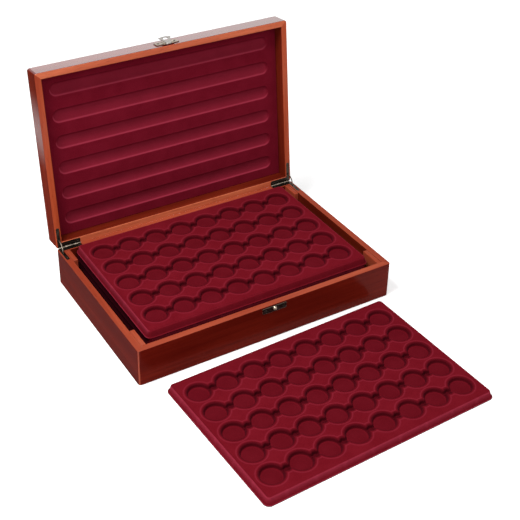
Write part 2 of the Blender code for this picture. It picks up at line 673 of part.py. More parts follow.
def add_hasp(pin_frame, lid_pivot):
    """The hasp on its pin, with a hole for the stud and a bent end for the finger; it is thrown back."""
    pivot = add_pivot("hasp_pivot", -case_depth / 2 - latch_pin_out, latch_pin_height, 0)
    closed_place[pivot.name] = Matrix.Translation(pivot.location)
    hang(pivot, lid_pivot)
    half, knuckle_half = HASP_THICKNESS / 2, HASP_KNUCKLE_LENGTH / 2
    hasp = placed(plate(hasp_outline(), -half, half), pin_frame)
    hasp = add_piece("hasp", hasp, "bright_steel", smooth=True)
    tab_half = HASP_TAB_WIDTH / 2 - GAP
    tab = block((-tab_half, -HASP_TAB_LENGTH, -half), (tab_half, 0, half))
    bend = Matrix.Rotation(-math.radians(HASP_TAB_DEGREES), 4, "X")
    bend = Matrix.Translation((0, half - hasp_tip, 0)) @ bend
    knuckle = rod(LATCH_KNUCKLE_RADIUS, -knuckle_half, knuckle_half)
    joined = [placed(knuckle, pin_frame), placed(tab, pin_frame @ bend)]
    combine(hasp, add_cutters("hasp_knuckle", joined, pivot), "UNION")
    hole = turned([(0, -OVERRUN), (hasp_hole_radius, -OVERRUN), (hasp_hole_radius, OVERRUN), (0, OVERRUN)])
    hole = placed(hole, pin_frame @ Matrix.Translation((0, -hasp_reach, 0)))
    bore = placed(rod(LATCH_PIN_RADIUS + GAP, -knuckle_half - OVERRUN, knuckle_half + OVERRUN), pin_frame)
    combine(hasp, add_cutters("hasp_holes", [hole, bore], pivot))
    hang(hasp, pivot)
    pivot.rotation_euler.x = math.radians(-HASP_REST_DEGREES)


def add_keeper(place, base_board):
    """The keeper plate on the case's front, with the round stud that the hasp's hole closes over."""
    low, high = GAP, GAP + KEEPER_THICKNESS
    middle = (0, base_height - KEEPER_BELOW_RIM - KEEPER_HEIGHT / 2)
    outline = rounded_rectangle(KEEPER_LENGTH, KEEPER_HEIGHT, LATCH_CORNER_RADIUS, middle)
    keeper = add_piece("keeper_plate", placed(plate(outline, low, high), place), "dark_bronze", smooth=True)
    root = (low + high) / 2
    dome = [(0, root), (STUD_RADIUS, root)]
    for x, y in arc((0, 0), 1, 0, 90, CORNER_STEPS)[:-1]:
        dome.append((STUD_RADIUS * x, high + STUD_HEIGHT * y))
    dome.append((0, high + STUD_HEIGHT))
    stud = placed(turned(dome), place @ Matrix.Translation((0, stud_height, 0)))
    combine(keeper, add_cutters("keeper_stud", [stud]), "UNION")
    screw_x = KEEPER_LENGTH / 2 - LATCH_SCREW_FROM_END
    add_plate_screws("keeper_plate", base_board, None, place, screw_x, middle[1], high)


for thing in list(bpy.data.objects):
    bpy.data.objects.remove(thing)

pieces = new_collection("coin_display_case")
cutters = new_collection("cutters")
closed_place = {}
lid_pivot = add_pivot("lid_pivot", axis_y, axis_z, 0)
closed_place[lid_pivot.name] = Matrix.Translation((0, axis_y, axis_z))

add_trays()
base = add_base()
lid = add_lid(lid_pivot)
for hinge_side, hinge_sign in (("left", -1), ("right", 1)):
    add_hinge(hinge_side, hinge_sign, base, lid, lid_pivot)
latch_place = Matrix.Translation((LATCH_OFFSET, -case_depth / 2, 0)) @ Matrix.Rotation(math.pi / 2, 4, "X")
latch_pin_frame = latch_place @ Matrix.Translation((0, latch_pin_height, latch_pin_out))
add_latch_plate(latch_place, latch_pin_frame, lid["front"], lid_pivot)
add_hasp(latch_pin_frame, lid_pivot)
add_keeper(latch_place, base["front"])
lid_pivot.rotation_euler.x = math.radians(-LID_OPEN_DEGREES)
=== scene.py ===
"""The looks of the coin display case: flocked trays and liner, lacquered mahogany, and metal fittings.

Metres, +Z up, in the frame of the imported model. The lid's pieces are worked out with the lid closed, as the
joiner sees them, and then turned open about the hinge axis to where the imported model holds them.
"""
import json
import math

import bmesh
import bpy
import numpy as np
from mathutils import Matrix, Vector
from mathutils.geometry import tessellate_polygon


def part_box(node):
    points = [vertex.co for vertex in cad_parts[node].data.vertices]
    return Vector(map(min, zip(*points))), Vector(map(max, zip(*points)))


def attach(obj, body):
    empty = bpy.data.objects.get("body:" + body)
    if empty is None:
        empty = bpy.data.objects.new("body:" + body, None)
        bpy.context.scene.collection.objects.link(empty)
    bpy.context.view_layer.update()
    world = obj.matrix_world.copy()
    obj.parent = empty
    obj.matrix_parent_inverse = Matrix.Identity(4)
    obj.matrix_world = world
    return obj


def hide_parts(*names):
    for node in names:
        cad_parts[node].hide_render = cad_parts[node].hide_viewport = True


MM = 0.001
QUARTER = math.pi / 2

# Case, in metres. The rims of base and lid all but meet at the hinge axis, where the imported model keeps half
# a millimetre between them
CASE_LENGTH = 0.400
CASE_DEPTH = 0.267
WALL = 0.0095
CORNER_RADIUS = 0.004
BASE_HEIGHT = 0.056248
LID_LOW = 0.056252
LID_TOP = 0.085
LINER_LOW = 0.0745
LINER_THICKNESS = 0.0062
LINER_CORNER = 0.001
LID_PANEL_LOW = 0.081
PANEL_LEDGE = 0.005
GAP = 0.0003
EDGE_ROUND = 0.0010
HINGE_EDGE_ROUND = 0.00001
INNER_EDGE_ROUND = 0.0005
LID_INNER_ROUND = 0.0012
MITRE_GAP = 0.00005
MITRE_EASE = 0.00012
# Where a board's stain changes, as shares of its wall and of its edge rounds: the middles of the base's turned
# corners take the rim's lighter stain as a painted highlight, and the inner part of the lid's inner round
# takes the dark inner stain as a painted shade line
INNER_FACE_FROM = 0.9
OUTER_FACE_TO = 0.55
OUTER_FACE_EASE = 0.2
LID_OUTER_FROM = 0.6
LID_PAINTED_SHADE_EDGE = 0.45

# Coin trays
COLUMNS = 8
ROWS = 5
PITCH = 0.0419
RECESS_TOP_RADIUS = 0.0168
NOTCH_TOP_RADIUS = 0.0062
CUSP_TOP_RADIUS = 0.0006
TRAY_LENGTH = 0.3525
TRAY_DEPTH = 0.237
TRAY_CORNER = 0.0085
FIELD = 0.0093
TRAY_Y = 0.0052
FIRST_TRAY_LOW = 0.0103
TRAY_STEP = 0.0103
TRAYS = 5
LOOSE_PLACE = (0.0059, -0.2693)
LOOSE_TURN_DEGREES = 2

# A recess's side in millimetres: how far in from its top edge, and how deep
RECESS_PROFILE = (
    (-0.6, 0.0), (-0.2, 0.01), (0.2, 0.05), (0.6, 0.16), (0.95, 0.32), (1.25, 0.54), (1.5, 0.84), (1.7, 1.25),
    (1.85, 1.8), (2.0, 2.6), (2.15, 3.4), (2.35, 4.1), (2.7, 4.6), (3.2, 4.88), (3.9, 5.0), (4.8, 5.0),
)
# How bright a tray's flock is painted by how far a spot lies inside a recess's edge, in millimetres, as
# painted
# light and shade: a painted highlight on the ground round it, painted shade on the edge and the wall, a
# painted highlight at the foot of the wall, and painted shade on the floor
RECESS_PAINTED_LIGHT = (
    (-4.5, 1.0), (-3.4, 1.14), (-2.5, 1.22), (-1.7, 0.98), (-0.7, 0.66), (0.4, 0.5), (1.6, 0.46), (2.4, 0.5),
    (2.9, 0.64), (3.5, 0.82), (4.4, 0.74), (5.5, 0.68),
)
# Painted shade in the finger notches between recesses
NOTCH_PAINTED_SHADE = 0.62
# A tray's outer side in millimetres: how far in from its edge, how high, and how bright its flock is painted:
# dark at the cut edge, partly the bare sheet and partly painted shade, then painted light and shade along the
# flange, the ridge's slope and the valley inside the ridge
TRAY_PROFILE = (
    (0.6, 0.0, 0.0), (0.25, 0.0, 0.0), (0.05, 0.1, 0.0), (0.0, 0.3, 0.2), (0.0, 0.95, 1.0),
    (0.08, 1.2, 1.3), (0.3, 1.38, 1.4), (0.6, 1.4, 1.2), (1.15, 1.4, 0.85), (1.45, 1.55, 0.85),
    (1.7, 2.1, 1.05), (2.6, 5.4, 1.15), (3.4, 8.2, 1.25), (3.7, 9.1, 1.3), (4.05, 9.7, 1.3),
    (4.55, 9.97, 1.25), (5.1, 9.97, 1.1), (5.6, 9.75, 0.95), (6.05, 9.45, 0.9), (6.5, 9.32, 0.9),
    (7.0, 9.3, 1.0), (7.4, 9.3, 1.0),
)
# Rows of that profile: the outermost edge and the ridge's crown
TRAY_EDGE_ROW = 4
TRAY_CROWN_ROW = 15
# Painted shade on the trays' sides: the trays under the top one are painted nearly black on their left, right
# and back sides, and the top tray's front side a little darker
LOWER_TRAY_PAINTED_SHADE = 0.12
LOWER_TRAY_FRONT_PAINTED_SHADE = 1.0
TOP_TRAY_FRONT_PAINTED_SHADE = 0.8
TRAY_STEPS = 20
LOWER_TRAY_STEPS = 8
# How many points the arcs of a row's outline get, against a recess inside the row
END_RECESS_SHARE = 2.3
FILLET_SHARE = 0.35
NOTCH_SHARE = 0.45

# Lid liner
TROUGHS = 6
TROUGH_LENGTH = 0.350
TROUGH_WIDTH = 0.020
TROUGH_PITCH = 0.0395
TROUGH_DEPTH = 0.0037
TROUGH_LIP = 0.0003
TROUGH_LIP_START = -0.0016
TROUGH_BED_START = 0.0023
TROUGH_BED_END = 0.0097
TROUGH_FACING_ROW = 12
# Amount, middle and width of the humps of painted light round a trough: painted shade at its front lip, which
# is the upper lip with the lid open, and painted highlight on its back lip and left end
TROUGH_PAINTED_LIGHT_HUMPS = ((-0.5, 0.0002, 0.0007), (0.42, 0.0008, 0.0012), (0.35, 0.0004, 0.0010))
# Where the painted highlight on a trough's bed starts, its run and its amount
TROUGH_BED_PAINTED_LIGHT = (0.0012, 0.002, 0.16)

# Corner hinges, from the case's corner
LEAF_THICKNESS = 0.0012
ARM_WIDTH = 0.005
ARM_INSET = 0.0022
SIDE_ARM_REACH = 0.0325
BACK_ARM_REACH = 0.037
BACK_ARM_DEPTH = 0.0082
ARM_END_RADIUS = 0.0022
BARREL_START = 0.0032
BARREL_RADIUS = 0.0018
BARREL_REACH = 1.02
# Angles of the painted highlight along a barrel, in the paler brass, from straight up towards the front
BARREL_HIGHLIGHT_LINE = (0.4, 0.9)
# How far a barrel's trough reaches in from the back and from the rim
BARREL_TROUGH = (0.0021, 0.0019)
BACK_OVERRUN = 0.004
RIM_OVERRUN = 0.003
MORTISE_PLAY = 0.00015
STAY_SLOT_HALF = 0.0008
STAY_SLOT_NEAR = 0.0050
STAY_SLOT_FAR = 0.0145
STAY_SLOT_DEEP = 0.0134

# Latch and screws
KEEPER_FACE = 0.0014
SCREW_HEAD_RADIUS = 0.0015
SCREW_LENGTH = 0.006
SCREW_SLOT_HALF = 0.00022
SCREW_SLOT_STEP = 0.00010
SCREW_SLOT_DEPTH = 0.00035
SCREW_SLOT_END = 0.97
SCREW_EDGE_START = 0.9
SCREW_EDGE_DROP = 0.00008
SCREW_SHANK = ((SCREW_HEAD_RADIUS, -0.00012), (0.0007, -0.0008), (0.0007, -0.0045), (0.0001, -SCREW_LENGTH))
SCREW_SEGMENTS = 48
SCREW_RINGS = (0.03, 1.0, 14)
PIN_SEGMENTS = 24
PIN_DOME = 0.4

# How far edges are rounded, and how near points are merged
LEAF_EASE = 0.0003
PLATE_EASE = 0.0002
BLOCK_EASE = 0.0006
PANEL_EASE = 0.0003
LID_PANEL_EASE = 0.0004
LINING_EASE = 0.0002
MERGE_DISTANCE = 0.000002
CAD_MERGE_DISTANCE = 0.000004
# Radii that stand in for none, of rings, of boards' corners and on an axis
LEAST_RADIUS = 0.0001
LEAST_BOARD_RADIUS = 0.00005
AXIS_RADIUS = 0.0000001

# The view: the photograph's frame is square
FRAME_PIXELS = 520
VIEW_AZIMUTH = 32.13
VIEW_ELEVATION = 30.84
VIEW_ROLL = -1.46
VIEW_PLACE = (-0.6482, -1.1385, 0.9541)
FOCAL_PIXELS = 1102.5
FILM_WIDTH = 36.0
VIEW_CENTRE = (264.3, 187.7)

# Stage: the floor glows a little, and more from the near to the far end of its run
FLOOR_HALF = 12.0
FLOOR_DROP = 0.0004
WORLD_LIGHT = 0.42
FLOOR_LIFT = 0.38
FAR_FLOOR_LIFT = 0.66
FLOOR_LIFT_RUN = (0.7, 2.2)
# Each lamp's name, place, aim, size and watts
LAMPS = (
    ("key from the left", (-0.75, -0.12, 1.6), (0, -0.05, 0.05), (0.7, 0.5), 26),
    ("back light", (0.95, 1.55, 0.72), (0, 0, 0.25), (1.5, 0.36), 2.3),
    ("front fill", (-0.2, -1.6, 1.5), (0, 0, 0.1), (1.2, 1.0), 14),
)

# Colours, linear: two shades of each stain, and its pores
OUTER = ((0.085, 0.0045, 0.0022), (0.150, 0.0105, 0.0050))
RIM = ((0.25, 0.036, 0.016), (0.40, 0.078, 0.035))
# The lid's stains are copies of the base's, made lighter or shifted for how light falls on the open lid:
# painted light
LID_RIM = ((0.42, 0.080, 0.034), (0.66, 0.175, 0.078))
LID_SIDE = ((0.10, 0.0085, 0.0035), (0.18, 0.020, 0.009))
LID_SIDE_RIM = ((0.27, 0.034, 0.012), (0.42, 0.072, 0.026))
INNER = ((0.10, 0.008, 0.003), (0.19, 0.020, 0.007))
PORE = (0.03, 0.003, 0.002)
RIM_PORE = (0.12, 0.014, 0.006)
# Where the coat is fullest: a direction, the place along it, and how far off the coat is dull. The full band
# is placed where a reflection shows in this view, a painted reflection
BASE_GLOSS = ((1, 0, 0), 0.2, 0.4)
LID_GLOSS = ((0, 0, 1), 0.236, 0.062)
LINES_SHARE = 0.6
PORES_SHARE = 0.5
# Flock: dark and light specks, and the tint of leaning pile; then the dark colour of a tray's bare cut edge
# and of painted shade, and the pale colour of a painted highlight
TRAY_FLOCK = ((0.094, 0.0030, 0.0066), (0.160, 0.0065, 0.0130), (0.19, 0.010, 0.019))
LID_FLOCK = ((0.092, 0.0030, 0.0085), (0.155, 0.0065, 0.0165), (0.19, 0.010, 0.024))
FLOOR_FLOCK = ((0.05, 0.002, 0.005), (0.09, 0.004, 0.010), (0.11, 0.006, 0.014))
BARE_EDGE_AND_PAINTED_SHADE = (0.010, 0.001, 0.002)
PAINTED_HIGHLIGHT_COLOUR = (0.30, 0.030, 0.055)
LEAN_SHARE = 0.22
PAINTED_HIGHLIGHT_SHARE = 0.8
# Metals: colour, worn colour, roughness and wear
BRONZE = ((0.042, 0.035, 0.028), (0.24, 0.19, 0.145), 0.36, -0.1)
# Paler brass; it also carries the painted highlight along the hinges' barrels
PALER_BRASS = ((0.24, 0.19, 0.145), (0.50, 0.42, 0.34), 0.34, 0.15)
STEEL = ((0.42, 0.39, 0.36), (0.74, 0.71, 0.68), 0.22, 0.1)


def rectangle_rings(half_x, half_y, radius, insets, steps):
    """Rounded rectangles, one inside the other.

    Row i is the outline moved inwards by insets[i]: each corner is a quarter circle whose radius is the first
    radius less the inset, and at least a little.
    """
    quarter = np.linspace(0, np.pi / 2, steps + 1)
    angles = (np.arange(4)[:, None] * np.pi / 2 + quarter).ravel()
    side_x = np.repeat([1, -1, -1, 1], steps + 1)
    side_y = np.repeat([1, 1, -1, -1], steps + 1)
    insets = np.asarray(insets, float)[:, None]
    radii = np.maximum(radius - insets, LEAST_RADIUS)
    x = side_x * (half_x - insets - radii) + radii * np.cos(angles)
    y = side_y * (half_y - insets - radii) + radii * np.sin(angles)
    return x, y


def row_rings(insets, steps):
    """Outlines of a row of coin recesses joined by finger notches, one inside the other.

    The outline is made of arcs: a large circle at each recess, a smaller one at each notch between two, and a
    fillet that touches both on each side of a notch. Moved inwards, circles shrink and fillets grow about
    the same centres, so the arcs keep their angles. Half the outline, turned by half a turn, gives the rest.
    """
    half = PITCH / 2
    to_recess = RECESS_TOP_RADIUS + CUSP_TOP_RADIUS
    to_notch = NOTCH_TOP_RADIUS + CUSP_TOP_RADIUS
    fillet_x = (to_recess**2 - to_notch**2 + half**2) / (2 * half)
    fillet_y = math.sqrt(to_recess**2 - fillet_x**2)
    phi = math.atan2(fillet_y, fillet_x)
    psi = math.atan2(fillet_y, half - fillet_x)
    turn = math.pi
    arcs = []
    for column in range(COLUMNS - 1):
        x = (column - (COLUMNS - 1) / 2) * PITCH
        first = phi if column == 0 else turn + phi
        count = round(steps * (END_RECESS_SHARE if column == 0 else 1))
        arcs.append((x, 0, RECESS_TOP_RADIUS, -1, first, 2 * turn - phi, count))
        count = round(steps * FILLET_SHARE)
        arcs.append((x + fillet_x, -fillet_y, CUSP_TOP_RADIUS, 1, turn - phi, psi, count))
        notch_count = round(steps * NOTCH_SHARE)
        arcs.append((x + half, 0, NOTCH_TOP_RADIUS, -1, turn + psi, 2 * turn - psi, notch_count))
        next_x = x + PITCH - fillet_x
        arcs.append((next_x, -fillet_y, CUSP_TOP_RADIUS, 1, turn - psi, phi, count))
    table = [
        np.column_stack([np.tile(arc[:4], (arc[6], 1)), np.linspace(arc[4], arc[5], arc[6], endpoint=False)])
        for arc in arcs
    ]
    centre_x, centre_y, radius, growth, angle = np.concatenate(table).T
    radii = radius + growth * np.asarray(insets, float)[:, None]
    x = centre_x + radii * np.cos(angle)
    y = centre_y + radii * np.sin(angle)
    return np.concatenate([x, -x], axis=1), np.concatenate([y, -y], axis=1)


class Shell:
    """Gathers grids of points and the faces between them into one mesh."""

    def __init__(self):
        self.points = []
        self.faces = []
        self.masks = []
        self.count = 0

    def grid(self, x, y, z, mask=1.0, around=True, closed=False):
        """Adds a grid whose rows run along an outline, with quads between neighbouring rows.

        around joins each row's end to its start, and closed joins the last row to the first. Returns the
        numbers of the points, row by row.
        """
        x, y, z, mask = np.broadcast_arrays(x, y, z, mask)
        rows, columns = x.shape
        numbers = np.arange(rows * columns).reshape(rows, columns) + self.count
        upper = np.roll(numbers, -1, axis=0) if closed else numbers[1:]
        lower = numbers if closed else numbers[:-1]
        if around:
            quads = (lower, np.roll(lower, -1, axis=1), np.roll(upper, -1, axis=1), upper)
        else:
            quads = (lower[:, :-1], lower[:, 1:], upper[:, 1:], upper[:, :-1])
        self.faces += np.stack(quads, axis=-1).reshape(-1, 4).tolist()
        self.points.append(np.stack([x, y, z], axis=-1).reshape(-1, 3))
        self.masks.append(mask.ravel())
        self.count += rows * columns
        return numbers

    def cap(self, *loops):
        """Closes each loop of points with one flat face."""
        self.faces += [[int(number) for number in loop] for loop in loops]

    def fill(self, outer, holes):
        """Fills the flat ground between an outer loop and the holes in it with triangles."""
        points = np.concatenate(self.points)
        loops = [outer] + list(holes)
        polygons = [[Vector(points[number]) for number in loop] for loop in loops]
        numbers = np.concatenate(loops)
        for triangle in tessellate_polygon(polygons):
            self.faces.append([int(numbers[corner]) for corner in triangle])

    def mesh(self, name, smooth_degrees=50):
        """Makes the mesh, its faces turned out, with its mask and its place as attributes, pile and spot."""
        points = np.concatenate(self.points)
        made = bpy.data.meshes.new(name)
        made.from_pydata(points.tolist(), [], self.faces)
        # the pile mask carries painted light and shade, and the dark bare cut edge of a tray's sheet
        mask = made.attributes.new("pile", "FLOAT", "POINT")
        mask.data.foreach_set("value", np.concatenate(self.masks).astype(np.float32))
        spot = made.attributes.new("spot", "FLOAT_VECTOR", "POINT")
        spot.data.foreach_set("vector", points.astype(np.float32).ravel())
        turned_out(made)
        shaded(made, smooth_degrees)
        return made


def turned_out(mesh):
    """Turns a closed mesh's faces outwards, after its double points are merged."""
    work = bmesh.new()
    work.from_mesh(mesh)
    bmesh.ops.remove_doubles(work, verts=work.verts, dist=MERGE_DISTANCE)
    bmesh.ops.recalc_face_normals(work, faces=work.faces)
    work.to_mesh(mesh)
    work.free()


def shaded(mesh, degrees):
    """Shades a mesh smoothly, and sharp where its faces meet at more than an angle."""
    mesh.shade_smooth()
    mesh.set_sharp_from_angle(angle=math.radians(degrees))


def linked(name, data):
    """A new object in the scene."""
    made = bpy.data.objects.new(name, data)
    bpy.context.scene.collection.objects.link(made)
    return made


def bevelled(thing, width, degrees):
    """Rounds an object's edges where its faces meet at more than an angle; returns the modifier."""
    bevel = thing.modifiers.new("eased", "BEVEL")
    bevel.width = width
    bevel.segments = 2
    bevel.limit_method = "ANGLE"
    bevel.angle_limit = math.radians(degrees)
    return bevel


def applied(thing, helpers=()):
    """The mesh that an object's modifiers make; the object and its helpers are removed."""
    bpy.context.view_layer.update()
    depsgraph = bpy.context.evaluated_depsgraph_get()
    made = bpy.data.meshes.new_from_object(thing.evaluated_get(depsgraph))
    for spent in (*helpers, thing):
        bpy.data.objects.remove(spent)
    return made


def face_table(mesh, attribute):
    """A vector value of the faces, such as their centres, with a row for each face."""
    values = np.empty(len(mesh.polygons) * 3)
    mesh.polygons.foreach_get(attribute, values)
    return values.reshape(-1, 3)


def add_piece(name, mesh, materials, body, slot, *nodes):
    """Adds a finished mesh as a piece that rides on a body and stands for CAD nodes."""
    piece = linked(name, mesh)
    for material in materials:
        mesh.materials.append(material)
    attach(piece, body)
    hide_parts(*nodes)
    return piece


def trough_side():
    """A trough's side: insets and depths from the ground to the middle of its bed.

    The bed is an arc of a circle across the trough. The depth is the smooth maximum of nothing and the arc's
    depth a, (a + sqrt(a^2 + lip^2)) / 2, which rounds the lip.
    """
    lip = np.linspace(TROUGH_LIP_START, -TROUGH_LIP_START, 17)
    inset = np.concatenate([lip, np.linspace(TROUGH_BED_START, TROUGH_BED_END, 10)])
    half = TROUGH_WIDTH / 2
    radius = (half**2 + TROUGH_DEPTH**2) / (2 * TROUGH_DEPTH)
    arc = np.sqrt(radius**2 - (half - inset) ** 2) - (radius - TROUGH_DEPTH)
    depth = (arc + np.sqrt(arc**2 + TROUGH_LIP**2)) / 2
    return inset, depth - depth[0]


def trough_painted_light(x, y, inset):
    """Painted light and shade round a trough, in its pile mask: painted shade under the front lip, which is
    the upper lip with the lid open, and a painted highlight on the back lip, the left end and the bed.

    Each is a smooth hump over the inset, exp(-((inset - middle) / width)^2), times how far the outline faces
    that way there.
    """
    out_x, out_y = x[0] - x[TROUGH_FACING_ROW], y[0] - y[TROUGH_FACING_ROW]
    length = np.hypot(out_x, out_y)
    front, back, left = (np.clip(part / length, 0, 1) for part in (-out_y, out_y, -out_x))
    full = np.ones(x.shape)
    for (amount, middle, width), share in zip(TROUGH_PAINTED_LIGHT_HUMPS, (front, back, left**2 * (1 - front))):
        full += amount * np.exp(-(((inset - middle) / width) ** 2))[:, None] * share
    start, run, amount = TROUGH_BED_PAINTED_LIGHT
    return full + amount * np.clip((inset - start) / run, 0, 1)[:, None]


def coin_tray(name, steps, place, pile_and_painted_light=1.0, front_painted_light=1.0):
    """A flocked tray: a flange, a steep side up to a rounded ridge, and a field with rows of recesses.

    The outer side is a profile of insets and heights carried round a rounded rectangle. Each row of recesses
    is a profile of insets and depths carried round the row's outline. Flat ground fills what lies between.
    The side's painted light and shade is scaled as asked, and on the side that faces the front as asked there;
    a low scale paints the side into shade.
    """
    inset, height, pile = np.array(TRAY_PROFILE).T * np.array([[MM], [MM], [1]])
    shell = Shell()
    x, y = rectangle_rings(TRAY_LENGTH / 2, TRAY_DEPTH / 2, TRAY_CORNER, inset, max(4, steps // 2))
    out_x, out_y = (line[TRAY_EDGE_ROW] - line[TRAY_CROWN_ROW] for line in (x, y))
    facing = np.clip(-out_y / np.hypot(out_x, out_y), 0, 1) ** 2
    # painted shade: the side's painted light is scaled as asked, by how far the outline faces the front
    pile = pile[:, None] * (pile_and_painted_light + (front_painted_light - pile_and_painted_light) * facing)
    outer = shell.grid(x, y, height[:, None], pile)
    shell.cap(outer[0])
    inset, depth = np.array(RECESS_PROFILE).T * MM
    x, y = row_rings(inset, steps)
    mouths = []
    for row in range(ROWS):
        row_y = (row - (ROWS - 1) / 2) * PITCH
        ring = shell.grid(x, y + row_y, FIELD - depth[:, None])
        mouths.append(ring[0])
        shell.fill(ring[-1], [])
    shell.fill(outer[-1], mouths)
    mesh = shell.mesh(name)
    mesh.transform(place)
    return mesh


def add_trays():
    """The stack of trays in the case, and the one on the table."""
    for number in range(1, TRAYS + 1):
        place = Matrix.Translation((0, TRAY_Y, FIRST_TRAY_LOW + (number - 1) * TRAY_STEP))
        on_top = number == TRAYS
        # painted shade on the sides of the trays under the top one, and a little on the top tray's front side
        pile_and_painted_light = (1.0, TOP_TRAY_FRONT_PAINTED_SHADE) if on_top else (LOWER_TRAY_PAINTED_SHADE, LOWER_TRAY_FRONT_PAINTED_SHADE)
        steps = TRAY_STEPS if on_top else LOWER_TRAY_STEPS
        mesh = coin_tray(f"coin_tray_{number}", steps, place, *pile_and_painted_light)
        add_piece(f"coin_tray_{number}", mesh, [flock], f"tray_{number}", "burgundy_flock", f"tray_{number}")
    place = Matrix.Translation((*LOOSE_PLACE, 0)) @ Matrix.Rotation(math.radians(LOOSE_TURN_DEGREES), 4, "Z")
    mesh = coin_tray("coin_tray_on_table", TRAY_STEPS, place)
    add_piece("coin_tray_on_table", mesh, [flock], "loose_tray", "burgundy_flock", "loose_tray")


def add_liner():
    """The lid's flocked liner: a flat sheet with six long shallow troughs, their beds rounded across."""
    half_x, half_y = CASE_LENGTH / 2 - WALL - GAP, CASE_DEPTH / 2 - WALL - GAP
    shell = Shell()
    inset = np.array([0.3, 0.0, 0.0, 0.15, 0.5, 1.0]) * MM
    height = np.array([LINER_THICKNESS / MM, LINER_THICKNESS / MM - 0.3, 0.35, 0.1, 0.0, 0.0]) * MM
    x, y = rectangle_rings(half_x, half_y, LINER_CORNER, inset, 4)
    outer = shell.grid(x, y, LINER_LOW + height[:, None])
    shell.cap(outer[0])
    inset, depth = trough_side()
    x, y = rectangle_rings(TROUGH_LENGTH / 2, TROUGH_WIDTH / 2, TROUGH_WIDTH / 2, inset, 12)
    # painted light and shade round the troughs
    pile = trough_painted_light(x, y, inset)
    mouths = []
    for number in range(TROUGHS):
        trough_y = (number - (TROUGHS - 1) / 2) * TROUGH_PITCH
        ring = shell.grid(x, y + trough_y, LINER_LOW + depth[:, None], pile)
        mouths.append(ring[0])
        shell.fill(ring[-1], [])
    shell.fill(outer[-1], mouths)
    mesh = shell.mesh("lid_lining")
    mesh.transform(opening)
    add_piece("lid_lining", mesh, [lid_flock], "lid", "burgundy_flock", "lid_liner")


def board_mesh(name, run, cross, low, high, rounds, rebate=None):
    """A mitred board along the near side of a frame.

    A closed profile of insets and heights is carried along the board's outer line, which starts and ends on
    the mitres with half of each corner's arc. rounds are the radii of its low and high outer edges, and of
    its inner edges.
    """
    r, e, n = rounds
    quarter = np.linspace(0, np.pi / 2, 5)
    outer_low = np.column_stack([r - r * np.sin(quarter), low + r - r * np.cos(quarter)])
    outer_high = np.column_stack([e - e * np.cos(quarter), high - e + e * np.sin(quarter)])
    inner_high = np.column_stack([WALL - n + n * np.sin(quarter), high - n + n * np.cos(quarter)])
    inner_low = np.column_stack([WALL - n + n * np.cos(quarter), low + n - n * np.sin(quarter)])
    profile = np.concatenate([outer_low, outer_high, inner_high, inner_low])
    if rebate:
        ledge = WALL - PANEL_LEDGE
        step = [(ledge, high), (ledge, rebate), (WALL, rebate)]
        profile = np.concatenate([outer_low, outer_high, step, inner_low])
    inset, height = profile[:, :1], profile[:, 1:]
    radius = np.maximum(CORNER_RADIUS - inset, LEAST_BOARD_RADIUS)
    end = run / 2 - MITRE_GAP
    eighth = np.linspace(0, np.pi / 4, 7)
    centre_x, centre_y = end - inset - radius, -cross / 2 + inset + radius
    left = np.pi * 1.25 + eighth
    right = np.pi * 1.5 + eighth
    x = np.concatenate([-centre_x + radius * np.cos(left), centre_x + radius * np.cos(right)], axis=1)
    y = np.concatenate([centre_y + radius * np.sin(left), centre_y + radius * np.sin(right)], axis=1)
    shell = Shell()
    rings = shell.grid(x, y, height, around=False, closed=True)
    shell.cap(rings[:, 0], rings[:, -1])
    return shell.mesh(name, 35)


def mortise_outline():
    """The L of a hinge's bed seen from the rim, from the case's corner inwards, with round ends."""
    near, far = ARM_INSET - MORTISE_PLAY, ARM_INSET + ARM_WIDTH + MORTISE_PLAY
    end, depth = BACK_ARM_REACH + MORTISE_PLAY, BACK_ARM_DEPTH + MORTISE_PLAY
    side_end = SIDE_ARM_REACH + MORTISE_PLAY
    r = ARM_END_RADIUS
    quarter = np.linspace(0, np.pi / 2, 7)
    cos, sin = r * np.cos(quarter), r * np.sin(quarter)
    parts = [
        [(near, -BACK_OVERRUN), (end, -BACK_OVERRUN)],
        np.column_stack([end - r + cos, depth - r + sin]),
        [(far, depth)],
        np.column_stack([far - r + cos, side_end - r + sin]),
        np.column_stack([near + r - sin, side_end - r + cos]),
    ]
    return np.concatenate(parts)


def prism(outline, low, high):
    """A closed prism over an outline, from low to high."""
    shell = Shell()
    x, y = outline[:, 0], outline[:, 1]
    rings = shell.grid(np.stack([x, x]), np.stack([y, y]), np.array([[low], [high]]))
    shell.cap(*rings)
    return shell.mesh("cutter", 180)


def box_mesh(low, high):
    """A closed box between two corners."""
    (x0, y0, z0), (x1, y1, z1) = low, high
    return prism(np.array([(x0, y0), (x1, y0), (x1, y1), (x0, y1)]), z0, z1)


def mortise_cutters(rim, way):
    """What both hinges take out of a rim: the beds of leaves, the barrels' troughs and the stays' slots."""
    cutters = []
    middle = ARM_INSET + ARM_WIDTH / 2
    for side in (-1, 1):
        shapes = [
            prism(mortise_outline(), -RIM_OVERRUN, LEAF_THICKNESS + MORTISE_PLAY),
            box_mesh(
                (BARREL_START - MORTISE_PLAY, -BACK_OVERRUN, -RIM_OVERRUN),
                (BACK_ARM_REACH + MORTISE_PLAY, *BARREL_TROUGH),
            ),
            box_mesh(
                (middle - STAY_SLOT_HALF, STAY_SLOT_NEAR, -RIM_OVERRUN),
                (middle + STAY_SLOT_HALF, STAY_SLOT_FAR, STAY_SLOT_DEEP),
            ),
        ]
        corner = Matrix.Translation((side * CASE_LENGTH / 2, CASE_DEPTH / 2, rim))
        place = corner @ Matrix.Diagonal((-side, -1, way, 1))
        for shape in shapes:
            shape.transform(place)
            turned_out(shape)
            cutters.append(shape)
    return cutters


